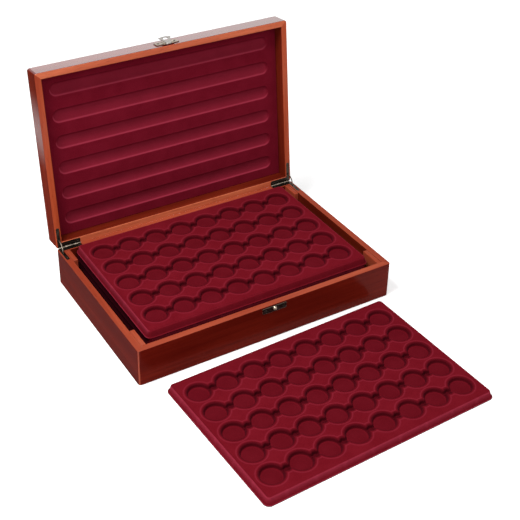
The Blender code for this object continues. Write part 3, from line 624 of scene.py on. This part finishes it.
def carved(mesh, cutters):
    """A board with its mitre edges eased by a bevel, and then with the cutters' shapes taken out."""
    board = linked("board", mesh)
    bevelled(board, MITRE_EASE, 40)
    helpers = [linked("cutter", cutter) for cutter in cutters]
    for helper in helpers:
        boolean = board.modifiers.new("cut", "BOOLEAN")
        boolean.solver = "EXACT"
        boolean.object = helper
    return applied(board, helpers)


def paint_stain(mesh, low, high, is_lid):
    """Gives the faces their stain: 0 on the outer faces, 1 on the rims, 2 on the inner faces.

    The lid's rim is its low one, with a painted shade line along its inner edge. On the base the middles of
    the turned corners are as light as the rims, a painted highlight.
    """
    x, y, z = face_table(mesh, "center").T
    level = np.abs(face_table(mesh, "normal")[:, 2])
    from_side = np.minimum(CASE_LENGTH / 2 - np.abs(x), CASE_DEPTH / 2 - np.abs(y))
    # on the base, the middles of the turned corners lie further from the sides than this and take the rim's
    # stain as a painted highlight
    outer_side = from_side < EDGE_ROUND * OUTER_FACE_TO
    ease = EDGE_ROUND * OUTER_FACE_EASE
    inner = (from_side > WALL * INNER_FACE_FROM) & (level < 0.5)
    if is_lid:
        # painted shade: a dark line along the inner edge of the lid's rim
        inner |= from_side > WALL - LID_INNER_ROUND * LID_PAINTED_SHADE_EDGE
        inner &= z < LID_PANEL_LOW
        outer = (z > low + EDGE_ROUND * LID_OUTER_FROM) | outer_side & (z > low + ease)
    else:
        outer = outer_side & (z > low) & (z < high - ease)
    kinds = np.where(inner, 2, np.where(outer, 0, 1)).astype(np.int32)
    mesh.polygons.foreach_set("material_index", kinds)


def add_frame(prefix, low, high, body, cutters, place, rebate, materials):
    """Four mitred boards; each is the near board turned by quarter turns."""
    for turns, side in enumerate(("front", "right", "back", "left")):
        run, cross = (CASE_LENGTH, CASE_DEPTH) if turns % 2 == 0 else (CASE_DEPTH, CASE_LENGTH)
        rounds = [EDGE_ROUND, EDGE_ROUND, LID_INNER_ROUND if rebate else INNER_EDGE_ROUND]
        if side == "back":
            rounds[0 if rebate else 1] = HINGE_EDGE_ROUND
        mesh = board_mesh(f"{prefix}_{side}", run, cross, low, high, rounds, rebate)
        mesh.transform(Matrix.Rotation(turns * QUARTER, 4, "Z"))
        mesh = carved(mesh, cutters if side != "front" else [])
        paint_stain(mesh, low, high, rebate is not None)
        mesh.transform(place)
        shaded(mesh, 35)
        run_name = "long" if turns % 2 == 0 else "short"
        name = f"{prefix}_{side}_board"
        piece = add_piece(f"{name}_lacquered", mesh, materials[run_name], body, "mahogany", name)
        # keeps large faces flat, and leaves the turn of the shading to the narrow rounds beside them
        piece.modifiers.new("flat faces", "WEIGHTED_NORMAL").keep_sharp = True


def rounded_block(name, low, high, ease):
    """A block with rounded edges, its profile of insets and heights carried round a rounded rectangle."""
    low, high = np.array(low), np.array(high)
    middle, half = (low + high) / 2, (high - low) / 2
    quarter = np.linspace(0, np.pi / 2, 5)
    inset = np.concatenate([ease - ease * np.sin(quarter), ease - ease * np.cos(quarter)])
    height = np.concatenate([low[2] + ease - ease * np.cos(quarter), high[2] - ease + ease * np.sin(quarter)])
    shell = Shell()
    x, y = rectangle_rings(half[0], half[1], ease, inset, 4)
    rings = shell.grid(middle[0] + x, middle[1] + y, height[:, None])
    shell.cap(rings[0], rings[-1])
    return shell.mesh(name, 35)


def eased_copy(node, ease, picked=None):
    """A copy of a CAD node's mesh, merged, with its flat faces whole again and its edges rounded by a bevel.

    The bevel's faces get the second material, and so do the faces whose centres are picked.
    """
    work = bmesh.new()
    work.from_mesh(frame["nodes"][node].data)
    bmesh.ops.remove_doubles(work, verts=work.verts, dist=CAD_MERGE_DISTANCE)
    bmesh.ops.dissolve_limit(work, angle_limit=math.radians(1), verts=work.verts, edges=work.edges)
    made = bpy.data.meshes.new(node)
    work.to_mesh(made)
    work.free()
    for _ in range(2):
        made.materials.append(None)
    holder = linked("holder", made)
    bevelled(holder, ease, 50).material = 1
    eased = applied(holder)
    kinds = np.empty(len(eased.polygons), np.int32)
    eased.polygons.foreach_get("material_index", kinds)
    eased.materials.clear()
    if picked:
        kinds[picked(*face_table(eased, "center").T)] = 1
    eased.polygons.foreach_set("material_index", kinds)
    shaded(eased, 40)
    return eased


def new_material(name):
    """A material with one Principled shader; returns the material, its node tree and the shader."""
    material = bpy.data.materials.new(name)
    material.use_nodes = True
    tree = material.node_tree
    return material, tree, tree.nodes["Principled BSDF"]


def set_inputs(node, values):
    """Sets a node's inputs by their labels."""
    for label, value in values.items():
        node.inputs[label].default_value = value


def new_group(name, *outputs):
    """A shader node group with a vector for input and named values for outputs, and its two end nodes."""
    group = bpy.data.node_groups.new(name, "ShaderNodeTree")
    group.interface.new_socket("Vector", in_out="INPUT", socket_type="NodeSocketVector")
    for label in outputs:
        group.interface.new_socket(label, in_out="OUTPUT", socket_type="NodeSocketFloat")
    return group, group.nodes.new("NodeGroupInput"), group.nodes.new("NodeGroupOutput")


def math_node(tree, operation, *values):
    """A Math node fed with sockets or numbers; returns its output."""
    node = tree.nodes.new("ShaderNodeMath")
    node.operation = operation
    for socket, value in zip(node.inputs, values):
        if isinstance(value, (int, float)):
            socket.default_value = value
        else:
            tree.links.new(value, socket)
    return node.outputs[0]


def noise(tree, vector, scale, detail, roughness):
    """A noise texture's value over a vector."""
    node = tree.nodes.new("ShaderNodeTexNoise")
    set_inputs(node, {"Scale": scale, "Detail": detail, "Roughness": roughness})
    tree.links.new(vector, node.inputs["Vector"])
    return node.outputs["Fac"]


def ramp(tree, value, low, high, out_low=0.0, out_high=1.0):
    """Maps a value smoothly from one range to another and stops at its ends."""
    node = tree.nodes.new("ShaderNodeMapRange")
    node.interpolation_type = "SMOOTHSTEP"
    tree.links.new(value, node.inputs["Value"])
    set_inputs(node, {"From Min": low, "From Max": high, "To Min": out_low, "To Max": out_high})
    return node.outputs["Result"]


def mixed(tree, factor, first, second):
    """Mixes two colours, each a socket or a tuple, by a factor."""
    node = tree.nodes.new("ShaderNodeMix")
    node.data_type = "RGBA"
    for label, value in (("Factor", factor), ("A", first), ("B", second)):
        socket = node.inputs[label]
        if isinstance(value, tuple):
            socket.default_value = (*value, 1.0)
        else:
            tree.links.new(value, socket)
    return node.outputs["Result"]


def wood_grain_group():
    """Grain of a board: long figure, fine lines and pores, from a vector whose X runs along the board."""
    group, source, result = new_group("board grain", "Figure", "Lines", "Pores")

    def stretched(along, across):
        mapping = group.nodes.new("ShaderNodeMapping")
        mapping.inputs["Scale"].default_value = (along, across, across)
        group.links.new(source.outputs["Vector"], mapping.inputs["Vector"])
        return mapping.outputs["Vector"]

    figure = ramp(group, noise(group, stretched(3.0, 26.0), 1.0, 3.0, 0.5), 0.3, 0.7)
    lines = ramp(group, noise(group, stretched(7.0, 240.0), 1.0, 4.0, 0.6), 0.34, 0.68)
    pores = ramp(group, noise(group, stretched(70.0, 1500.0), 1.0, 1.0, 0.4), 0.66, 0.74)
    for label, value in (("Figure", figure), ("Lines", lines), ("Pores", pores)):
        group.links.new(value, result.inputs[label])
    return group


def pile_group():
    """Flock: specks of darker and lighter pile, broad shading where the pile leans, and its height."""
    group, source, result = new_group("flock pile", "Specks", "Lean", "Height")
    vector = source.outputs["Vector"]
    specks = noise(group, vector, 2600.0, 2.0, 0.7)
    lean = ramp(group, noise(group, vector, 38.0, 3.0, 0.55), 0.35, 0.68)
    soft = noise(group, vector, 420.0, 3.0, 0.6)
    height = math_node(group, "ADD", specks, math_node(group, "MULTIPLY", soft, 0.8))
    for label, value in (("Specks", specks), ("Lean", lean), ("Height", height)):
        group.links.new(value, result.inputs[label])
    return group


def recess_group():
    """How far inside the nearest recess or notch a spot of a tray lies, in millimetres, and its notches.

    The spot is folded onto one cell of the pattern, whose recess lies half a pitch from its corner and whose
    notch lies at it. An inset is a radius less the distance from the centre, and the greater one counts.
    """
    group, source, result = new_group("recess inset", "Inset", "Notch")
    split = group.nodes.new("ShaderNodeSeparateXYZ")
    group.links.new(source.outputs["Vector"], split.inputs["Vector"])

    def folded(axis, cells):
        """Distance from the nearest whole multiple of the pitch, up to so many cells out."""
        kept = math_node(group, "MINIMUM", math_node(group, "ABSOLUTE", split.outputs[axis]), cells * PITCH)
        return math_node(group, "PINGPONG", kept, PITCH / 2)

    def inset(radius, across, along):
        joined = group.nodes.new("ShaderNodeCombineXYZ")
        group.links.new(across, joined.inputs["X"])
        group.links.new(along, joined.inputs["Y"])
        length = group.nodes.new("ShaderNodeVectorMath")
        length.operation = "LENGTH"
        group.links.new(joined.outputs["Vector"], length.inputs[0])
        return math_node(group, "SUBTRACT", radius, length.outputs["Value"])

    row = folded("Y", ROWS / 2)
    recess = inset(RECESS_TOP_RADIUS, math_node(group, "SUBTRACT", PITCH / 2, folded("X", COLUMNS / 2)), row)
    notch = inset(NOTCH_TOP_RADIUS, folded("X", (COLUMNS - 1) / 2), row)
    nearest = math_node(group, "SMOOTH_MAX", recess, notch, CUSP_TOP_RADIUS)
    group.links.new(math_node(group, "DIVIDE", nearest, MM), result.inputs["Inset"])
    in_notch, off_recess = ramp(group, notch, 0.0008, 0.003), ramp(group, recess, 0.001, -0.002)
    inside = math_node(group, "MULTIPLY", in_notch, off_recess)
    group.links.new(inside, result.inputs["Notch"])
    return group


def looked_up(tree, value, table):
    """Looks a value up in a table of places and amounts, with straight lines between."""
    low, high = table[0][0], table[-1][0]
    most = max(amount for place, amount in table)
    scaled = tree.nodes.new("ShaderNodeMapRange")
    tree.links.new(value, scaled.inputs["Value"])
    set_inputs(scaled, {"From Min": low, "From Max": high})
    node = tree.nodes.new("ShaderNodeValToRGB")
    tree.links.new(scaled.outputs["Result"], node.inputs["Fac"])
    stops = node.color_ramp.elements
    for place, amount in table[1:-1]:
        stops.new((place - low) / (high - low))
    for stop, (place, amount) in zip(stops, table):
        stop.color = (amount / most, amount / most, amount / most, 1)
    return math_node(tree, "MULTIPLY", node.outputs["Color"], most)


def coordinates(tree, rotation=(0, 0, 0)):
    """Object coordinates, turned by a Mapping node."""
    texture = tree.nodes.new("ShaderNodeTexCoord")
    mapping = tree.nodes.new("ShaderNodeMapping")
    mapping.inputs["Rotation"].default_value = rotation
    tree.links.new(texture.outputs["Object"], mapping.inputs["Vector"])
    return mapping.outputs["Vector"]


def placed_group(tree, group, vector):
    """A node group in a material, fed with a vector."""
    node = tree.nodes.new("ShaderNodeGroup")
    node.node_tree = group
    tree.links.new(vector, node.inputs["Vector"])
    return node.outputs


def bumped(tree, shader, height, distance, strength):
    """Feeds a height into the shader's normal."""
    bump = tree.nodes.new("ShaderNodeBump")
    set_inputs(bump, {"Distance": distance, "Strength": strength})
    tree.links.new(height, bump.inputs["Height"])
    tree.links.new(bump.outputs["Normal"], shader.inputs["Normal"])


def lacquered_wood(name, rotation, dark, light, pore, dull, coat, gloss):
    """Stained mahogany under lacquer: two shades by the figure and lines, dark pores, and a gloss coat.

    The coat falls from its full weight to dull with the distance from where it is fullest, along a direction,
    so
    reflections show only on that band: a painted reflection.
    """
    material, tree, shader = new_material(name)
    grain = placed_group(tree, board_grain, coordinates(tree, rotation))
    shade = mixed(tree, grain["Figure"], dark, light)
    lined = mixed(tree, math_node(tree, "MULTIPLY", grain["Lines"], LINES_SHARE), shade, dark)
    pored = mixed(tree, math_node(tree, "MULTIPLY", grain["Pores"], PORES_SHARE), lined, pore)
    tree.links.new(pored, shader.inputs["Base Color"])
    set_inputs(shader, {"Roughness": 0.6, "Specular IOR Level": 0.0})
    direction, fullest, reach = gloss
    along = tree.nodes.new("ShaderNodeVectorMath")
    along.operation = "DOT_PRODUCT"
    along.inputs[1].default_value = direction
    tree.links.new(coordinates(tree), along.inputs[0])
    off = math_node(tree, "ABSOLUTE", math_node(tree, "SUBTRACT", along.outputs["Value"], fullest))
    tree.links.new(ramp(tree, off, 0.0, reach, coat, dull), shader.inputs["Coat Weight"])
    set_inputs(shader, {"Coat Roughness": 0.2, "Coat IOR": 1.5})
    bumped(tree, shader, math_node(tree, "ADD", grain["Lines"], grain["Figure"]), 0.00003, 0.5)
    return material


def wood_stains(prefix, rotation, outer, outer_coat, rim, rim_coat, gloss):
    """The dark outer stain, the lighter rim and the dark inner face, with the grain turned the same way."""
    return [
        lacquered_wood(f"{prefix}_outer", rotation, *outer, PORE, *outer_coat, gloss),
        lacquered_wood(f"{prefix}_rim", rotation, *rim, RIM_PORE, *rim_coat, gloss),
        lacquered_wood(f"{prefix}_inner", rotation, *INNER, PORE, 0.3, 0.3, gloss),
    ]


def flocked(name, low, high, tint, pattern=False):
    """Short pile: a dull base in specks, dark where the pile attribute is low, at a tray's bare cut edge and
    as painted shade, and pale as a painted highlight where it is above one.

    With a pattern, painted light and shade also follow the recesses and notches of a tray, by the spot
    attribute.
    """
    material, tree, shader = new_material(name)
    pile = placed_group(tree, flock_pile, coordinates(tree))
    attribute = tree.nodes.new("ShaderNodeAttribute")
    attribute.attribute_name = "pile"
    pile_and_painted_light = attribute.outputs["Fac"]
    if pattern:
        spot = tree.nodes.new("ShaderNodeAttribute")
        spot.attribute_name = "spot"
        cut = placed_group(tree, tray_recesses, spot.outputs["Vector"])
        # painted light and shade round each recess, and painted shade in each notch
        pile_and_painted_light = math_node(tree, "MULTIPLY", pile_and_painted_light, looked_up(tree, cut["Inset"], RECESS_PAINTED_LIGHT))
        pile_and_painted_light = math_node(tree, "MULTIPLY", pile_and_painted_light, ramp(tree, cut["Notch"], 0.0, 1.0, 1.0, NOTCH_PAINTED_SHADE))
    specked = mixed(tree, ramp(tree, pile["Specks"], 0.3, 0.7), low, high)
    leaned = mixed(tree, math_node(tree, "MULTIPLY", pile["Lean"], LEAN_SHARE), specked, tint)
    with_edge_and_shade = mixed(tree, ramp(tree, pile_and_painted_light, 0.0, 1.0), BARE_EDGE_AND_PAINTED_SHADE, leaned)
    with_painted_highlight = mixed(tree, ramp(tree, pile_and_painted_light, 1.0, 1.5, 0.0, PAINTED_HIGHLIGHT_SHARE), with_edge_and_shade, PAINTED_HIGHLIGHT_COLOUR)
    tree.links.new(with_painted_highlight, shader.inputs["Base Color"])
    set_inputs(shader, {"Roughness": 1.0, "Specular IOR Level": 0.0, "Sheen Weight": 0.08})
    set_inputs(shader, {"Sheen Roughness": 0.45, "Sheen Tint": (1.0, 0.15, 0.28, 1.0)})
    bumped(tree, shader, pile["Height"], 0.00012, 0.6)
    return material


def metal(name, colour, worn_colour, roughness, wear):
    """Metal with fine scratches, and a mottled patina that shows the worn colour through it."""
    material, tree, shader = new_material(name)
    vector = coordinates(tree)
    mottle = ramp(tree, noise(tree, vector, 900.0, 4.0, 0.65), 0.5 - wear, 0.85)
    tree.links.new(mixed(tree, mottle, colour, worn_colour), shader.inputs["Base Color"])
    scratches = noise(tree, vector, 5200.0, 2.0, 0.6)
    scratched = ramp(tree, scratches, 0.3, 0.7, roughness * 0.75, roughness * 1.3)
    tree.links.new(scratched, shader.inputs["Roughness"])
    shader.inputs["Metallic"].default_value = 1.0
    bumped(tree, shader, scratches, 0.00002, 0.35)
    return material


def turned_mesh(name, profile, place):
    """A turned solid: a profile of radii and heights, from the axis to the axis, carried round and placed."""
    radius, height = np.array(profile, float).T
    radius = np.maximum(radius, AXIS_RADIUS)
    angle = np.linspace(0, 2 * np.pi, PIN_SEGMENTS, endpoint=False)
    shell = Shell()
    rings = shell.grid(np.outer(radius, np.cos(angle)), np.outer(radius, np.sin(angle)), height[:, None])
    shell.cap(rings[0], rings[-1])
    made = shell.mesh(name, 40)
    made.transform(place)
    turned_out(made)
    shaded(made, 40)
    return made


def pin_mesh(node):
    """A pin with domed ends along X, as long and thick as its CAD node."""
    low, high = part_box(node)
    middle = (low + high) / 2
    half, radius = (high.x - low.x) / 2, (high.z - low.z) / 2
    dome = np.linspace(0, np.pi / 2, 6)
    rise = PIN_DOME * radius
    end = np.column_stack([radius * np.sin(dome), half - rise + rise * np.cos(dome)])
    profile = np.concatenate([end * (1, 1), end[::-1] * (1, -1)])
    place = Matrix.Translation(middle) @ Matrix.Rotation(QUARTER, 4, "Y")
    return turned_mesh(node, profile, place)


def screw_mesh(node, outward):
    """A countersunk screw with a slotted head flush with its plate, pointing away from the outward direction.

    The head's face is a polar grid whose height drops by the slot's depth where it lies within half the
    slot's width of a line across the head, with a smooth step at the slot's sides.
    """
    low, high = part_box(node)
    middle = (low + high) / 2
    outward = Vector(outward).normalized()
    face = middle + outward * (SCREW_LENGTH / 2)
    angle = np.linspace(0, 2 * np.pi, SCREW_SEGMENTS, endpoint=False)
    share = np.linspace(*SCREW_RINGS)[:, None]
    x, y = SCREW_HEAD_RADIUS * share * np.cos(angle), SCREW_HEAD_RADIUS * share * np.sin(angle)
    step = np.clip((np.abs(y) - SCREW_SLOT_HALF) / SCREW_SLOT_STEP, 0, 1)
    side = np.clip((share - SCREW_EDGE_START) / (1 - SCREW_EDGE_START), 0, 1)
    slot = SCREW_SLOT_DEPTH * (1 - step * step * (3 - 2 * step)) * (share < SCREW_SLOT_END)
    top = -slot - SCREW_EDGE_DROP * side**2
    shell = Shell()
    head = shell.grid(x, y, top)
    shell.cap(head[0])
    radius, height = np.array(SCREW_SHANK).T
    shank = shell.grid(np.outer(radius, np.cos(angle)), np.outer(radius, np.sin(angle)), height[:, None])
    neck = [head[-1], np.roll(head[-1], -1), np.roll(shank[0], -1), shank[0]]
    shell.faces += np.stack(neck, axis=-1).tolist()
    shell.cap(shank[-1])
    made = shell.mesh(node, 40)
    turn = Vector((0, 0, 1)).rotation_difference(outward).to_matrix().to_4x4()
    made.transform(Matrix.Translation(face) @ turn)
    return made


def on_barrel_highlight(x, y, z):
    """Picks the line of faces along a hinge's barrel, in front of its top, that carries a painted highlight.
    """
    forward, up = hinge_axis.y - y, z - hinge_axis.z
    turned = np.arctan2(forward, up)
    low, high = BARREL_HIGHLIGHT_LINE
    return (np.hypot(forward, up) < BARREL_RADIUS * BARREL_REACH) & (turned > low) & (turned < high)


def on_stud(x, y, z):
    """Picks the faces of the keeper's stud, which stand out of its plate."""
    return y < -CASE_DEPTH / 2 - KEEPER_FACE


def add_fittings():
    """Both corner hinges and the latch, each piece in the place of its CAD node."""
    lid_up = opening.to_3x3() @ Vector((0, 0, -1))
    front_up = opening.to_3x3() @ Vector((0, -1, 0))
    for side in ("left", "right"):
        for half, body, outward in (("base", "base", (0, 0, 1)), ("lid", "lid", lid_up)):
            node = f"{side}_hinge_{half}_leaf"
            # the barrel's line of faces takes the paler brass as a painted highlight
            mesh = eased_copy(node, LEAF_EASE, on_barrel_highlight)
            add_piece(f"{node}_eased", mesh, [bronze, paler], body, "dark_bronze", node)
            for arm in ("side", "back"):
                node = f"{side}_hinge_{half}_{arm}_screw"
                add_piece(f"{node}_slotted", screw_mesh(node, outward), [bronze], body, "dark_bronze", node)
        node = f"{side}_hinge_pin"
        add_piece(f"{node}_domed", pin_mesh(node), [bronze], "base", "dark_bronze", node)
        node = f"{side}_stay"
        add_piece(f"{node}_eased", eased_copy(node, PLATE_EASE), [paler, bronze], node, "bright_steel", node)
    mesh = eased_copy("latch_plate", PLATE_EASE)
    add_piece("latch_plate_eased", mesh, [paler, bronze], "lid", "dark_bronze", "latch_plate")
    add_piece("latch_pin_domed", pin_mesh("latch_pin"), [bronze], "lid", "dark_bronze", "latch_pin")
    add_piece("hasp_eased", eased_copy("hasp", LEAF_EASE), [steel, bronze], "hasp", "bright_steel", "hasp")
    mesh = eased_copy("keeper_plate", PLATE_EASE, on_stud)
    add_piece("keeper_plate_eased", mesh, [bronze, paler], "base", "dark_bronze", "keeper_plate")
    for plate, body, outward in (("latch_plate", "lid", front_up), ("keeper_plate", "base", (0, -1, 0))):
        for side in ("left", "right"):
            node = f"{plate}_{side}_screw"
            add_piece(f"{node}_slotted", screw_mesh(node, outward), [bronze], body, "dark_bronze", node)


def add_case():
    """The base's and the lid's boards and panels, and the blocks in the base's corners."""
    cutters = mortise_cutters(BASE_HEIGHT, -1)
    add_frame("base", 0, BASE_HEIGHT, "base", cutters, Matrix.Identity(4), None, base_wood)
    cutters = mortise_cutters(LID_LOW, 1)
    add_frame("lid", LID_LOW, LID_TOP, "lid", cutters, opening, LID_PANEL_LOW, lid_wood)
    low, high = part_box("bottom_panel")
    panel = rounded_block("bottom_panel", low, high, PANEL_EASE)
    add_piece("bottom_panel_board", panel, [base_wood["long"][0]], "base", "mahogany", "bottom_panel")
    edge = WALL - PANEL_LEDGE + GAP / 2
    x, y = CASE_LENGTH / 2 - edge, CASE_DEPTH / 2 - edge
    low, high = (-x, -y, LID_PANEL_LOW + GAP), (x, y, LID_TOP)
    panel = rounded_block("lid_top_panel", low, high, LID_PANEL_EASE)
    panel.transform(opening)
    add_piece("lid_top_panel_board", panel, [lid_wood["long"][0]], "lid", "mahogany", "lid_top_panel")
    low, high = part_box("floor_lining")
    lining = rounded_block("floor_lining", low, high, LINING_EASE)
    add_piece("floor_lining_flocked", lining, [flock_floor], "base", "burgundy_flock", "floor_lining")
    for side in ("left", "right"):
        for end in ("front", "back"):
            node = f"{end}_{side}_block"
            low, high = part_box(node)
            block = rounded_block(node, low, high, BLOCK_EASE)
            add_piece(f"{node}_eased", block, [base_wood["short"][1]], "base", "mahogany", node)


def add_camera():
    """The photograph's view: its direction and roll, its place, and its lens and shift."""
    azimuth, elevation, roll = (math.radians(angle) for angle in (VIEW_AZIMUTH, VIEW_ELEVATION, VIEW_ROLL))
    level = math.cos(elevation)
    forward = Vector((math.sin(azimuth) * level, math.cos(azimuth) * level, -math.sin(elevation)))
    right = Vector((math.cos(azimuth), -math.sin(azimuth), 0))
    down = forward.cross(right)
    rolled_right = math.cos(roll) * right + math.sin(roll) * down
    rolled_down = math.cos(roll) * down - math.sin(roll) * right
    camera = linked("camera", bpy.data.cameras.new("camera"))
    turn = Matrix((rolled_right, -rolled_down, -forward)).transposed()
    camera.matrix_world = Matrix.Translation(VIEW_PLACE) @ turn.to_4x4()
    camera.data.sensor_width = FILM_WIDTH
    camera.data.lens = FOCAL_PIXELS * FILM_WIDTH / FRAME_PIXELS
    camera.data.shift_x = (FRAME_PIXELS / 2 - VIEW_CENTRE[0]) / FRAME_PIXELS
    camera.data.shift_y = (VIEW_CENTRE[1] - FRAME_PIXELS / 2) / FRAME_PIXELS
    camera.data.clip_start = 0.01
    bpy.context.scene.camera = camera


def add_lamp(name, place, aim, size, watts):
    """A rectangular soft lamp that faces a point."""
    light = bpy.data.lights.new(name, "AREA")
    light.shape = "RECTANGLE"
    light.size, light.size_y = size
    light.energy = watts
    lamp = linked(name, light)
    lamp.location = place
    lamp.rotation_euler = (Vector(aim) - Vector(place)).to_track_quat("-Z", "Y").to_euler()


def seen_directly(tree):
    """1 for what the camera sees, also in a mirror or through glass, and 0 for light that falls on things."""
    path = tree.nodes.new("ShaderNodeLightPath")
    seen = math_node(tree, "MAXIMUM", path.outputs["Is Camera Ray"], path.outputs["Is Glossy Ray"])
    return math_node(tree, "MAXIMUM", seen, path.outputs["Is Transmission Ray"])


def add_stage():
    """A pale floor that shows white where no shadow falls, a soft world, and the lamps."""
    material, tree, shader = new_material("pale floor")
    set_inputs(shader, {"Base Color": (0.9, 0.9, 0.9, 1), "Roughness": 0.9, "Specular IOR Level": 0.0})
    set_inputs(shader, {"Emission Color": (1, 1, 1, 1)})
    distance = tree.nodes.new("ShaderNodeVectorMath")
    distance.operation = "LENGTH"
    tree.links.new(coordinates(tree), distance.inputs[0])
    lift = ramp(tree, distance.outputs["Value"], *FLOOR_LIFT_RUN, FLOOR_LIFT, FAR_FLOOR_LIFT)
    tree.links.new(math_node(tree, "MULTIPLY", seen_directly(tree), lift), shader.inputs["Emission Strength"])
    shell = Shell()
    corner = np.array([[-1, 1, 1, -1], [-1, -1, 1, 1]]) * FLOOR_HALF
    shell.cap(shell.grid(corner[:1], corner[1:], np.zeros((1, 4)))[0])
    floor = linked("floor", shell.mesh("floor"))
    floor.data.materials.append(material)
    floor.location.z = -FLOOR_DROP

    world = bpy.data.worlds.new("studio")
    bpy.context.scene.world = world
    world.use_nodes = True
    tree = world.node_tree
    background = tree.nodes["Background"]
    background.inputs["Color"].default_value = (1, 1, 1, 1)
    tree.links.new(ramp(tree, seen_directly(tree), 0.0, 1.0, WORLD_LIGHT, 1.0), background.inputs["Strength"])

    for lamp in LAMPS:
        add_lamp(*lamp)


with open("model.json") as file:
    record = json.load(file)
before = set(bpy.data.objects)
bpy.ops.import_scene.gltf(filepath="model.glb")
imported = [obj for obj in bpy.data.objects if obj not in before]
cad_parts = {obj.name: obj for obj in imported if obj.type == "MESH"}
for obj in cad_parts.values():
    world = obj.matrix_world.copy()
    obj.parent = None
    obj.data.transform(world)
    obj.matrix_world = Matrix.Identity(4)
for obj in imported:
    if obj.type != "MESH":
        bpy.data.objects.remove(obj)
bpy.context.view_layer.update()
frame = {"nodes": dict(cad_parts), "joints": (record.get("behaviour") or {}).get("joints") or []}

lid_joint = next(joint for joint in frame["joints"] if joint["name"] == "lid_hinge")
hinge_axis = Vector(lid_joint["pos_m"])
open_angle = math.radians(lid_joint["range_deg"][0])
turned_open = Matrix.Rotation(open_angle, 4, "X")
opening = Matrix.Translation(hinge_axis) @ turned_open @ Matrix.Translation(-hinge_axis)

board_grain = wood_grain_group()
flock_pile = pile_group()
tray_recesses = recess_group()

# After each stain's shades come its coat's weights, dull and full. The weights differ from board to board,
# high on the lid and low on the base, to show or hide reflections as they fall on each: painted reflection
base_wood = {
    "long": wood_stains("base_long", (0, 0, 0), OUTER, (0.05, 0.12), RIM, (0.3, 0.15), BASE_GLOSS),
    "short": wood_stains("base_short", (0, 0, QUARTER), OUTER, (0.06, 0.2), RIM, (0.35, 0.12), BASE_GLOSS),
}
lid_wood = {
    "long": wood_stains("lid_long", (-open_angle, 0, 0), OUTER, (1.0, 1.0), LID_RIM, (0.2, 0.2), LID_GLOSS),
    "short": wood_stains(
        "lid_short", (-open_angle, 0, QUARTER), LID_SIDE, (0.02, 0.62), LID_SIDE_RIM, (0.15, 0.3), LID_GLOSS
    ),
}
flock = flocked("flocked_tray", *TRAY_FLOCK, True)
lid_flock = flocked("flocked_lid", *LID_FLOCK)
flock_floor = flocked("flocked_floor", *FLOOR_FLOCK)
bronze = metal("dark bronze", *BRONZE)
paler = metal("worn brass", *PALER_BRASS)
steel = metal("bright steel", *STEEL)

add_trays()
add_liner()
add_case()
add_fittings()
add_camera()
add_stage()
bpy.context.scene.view_settings.view_transform = "Standard"
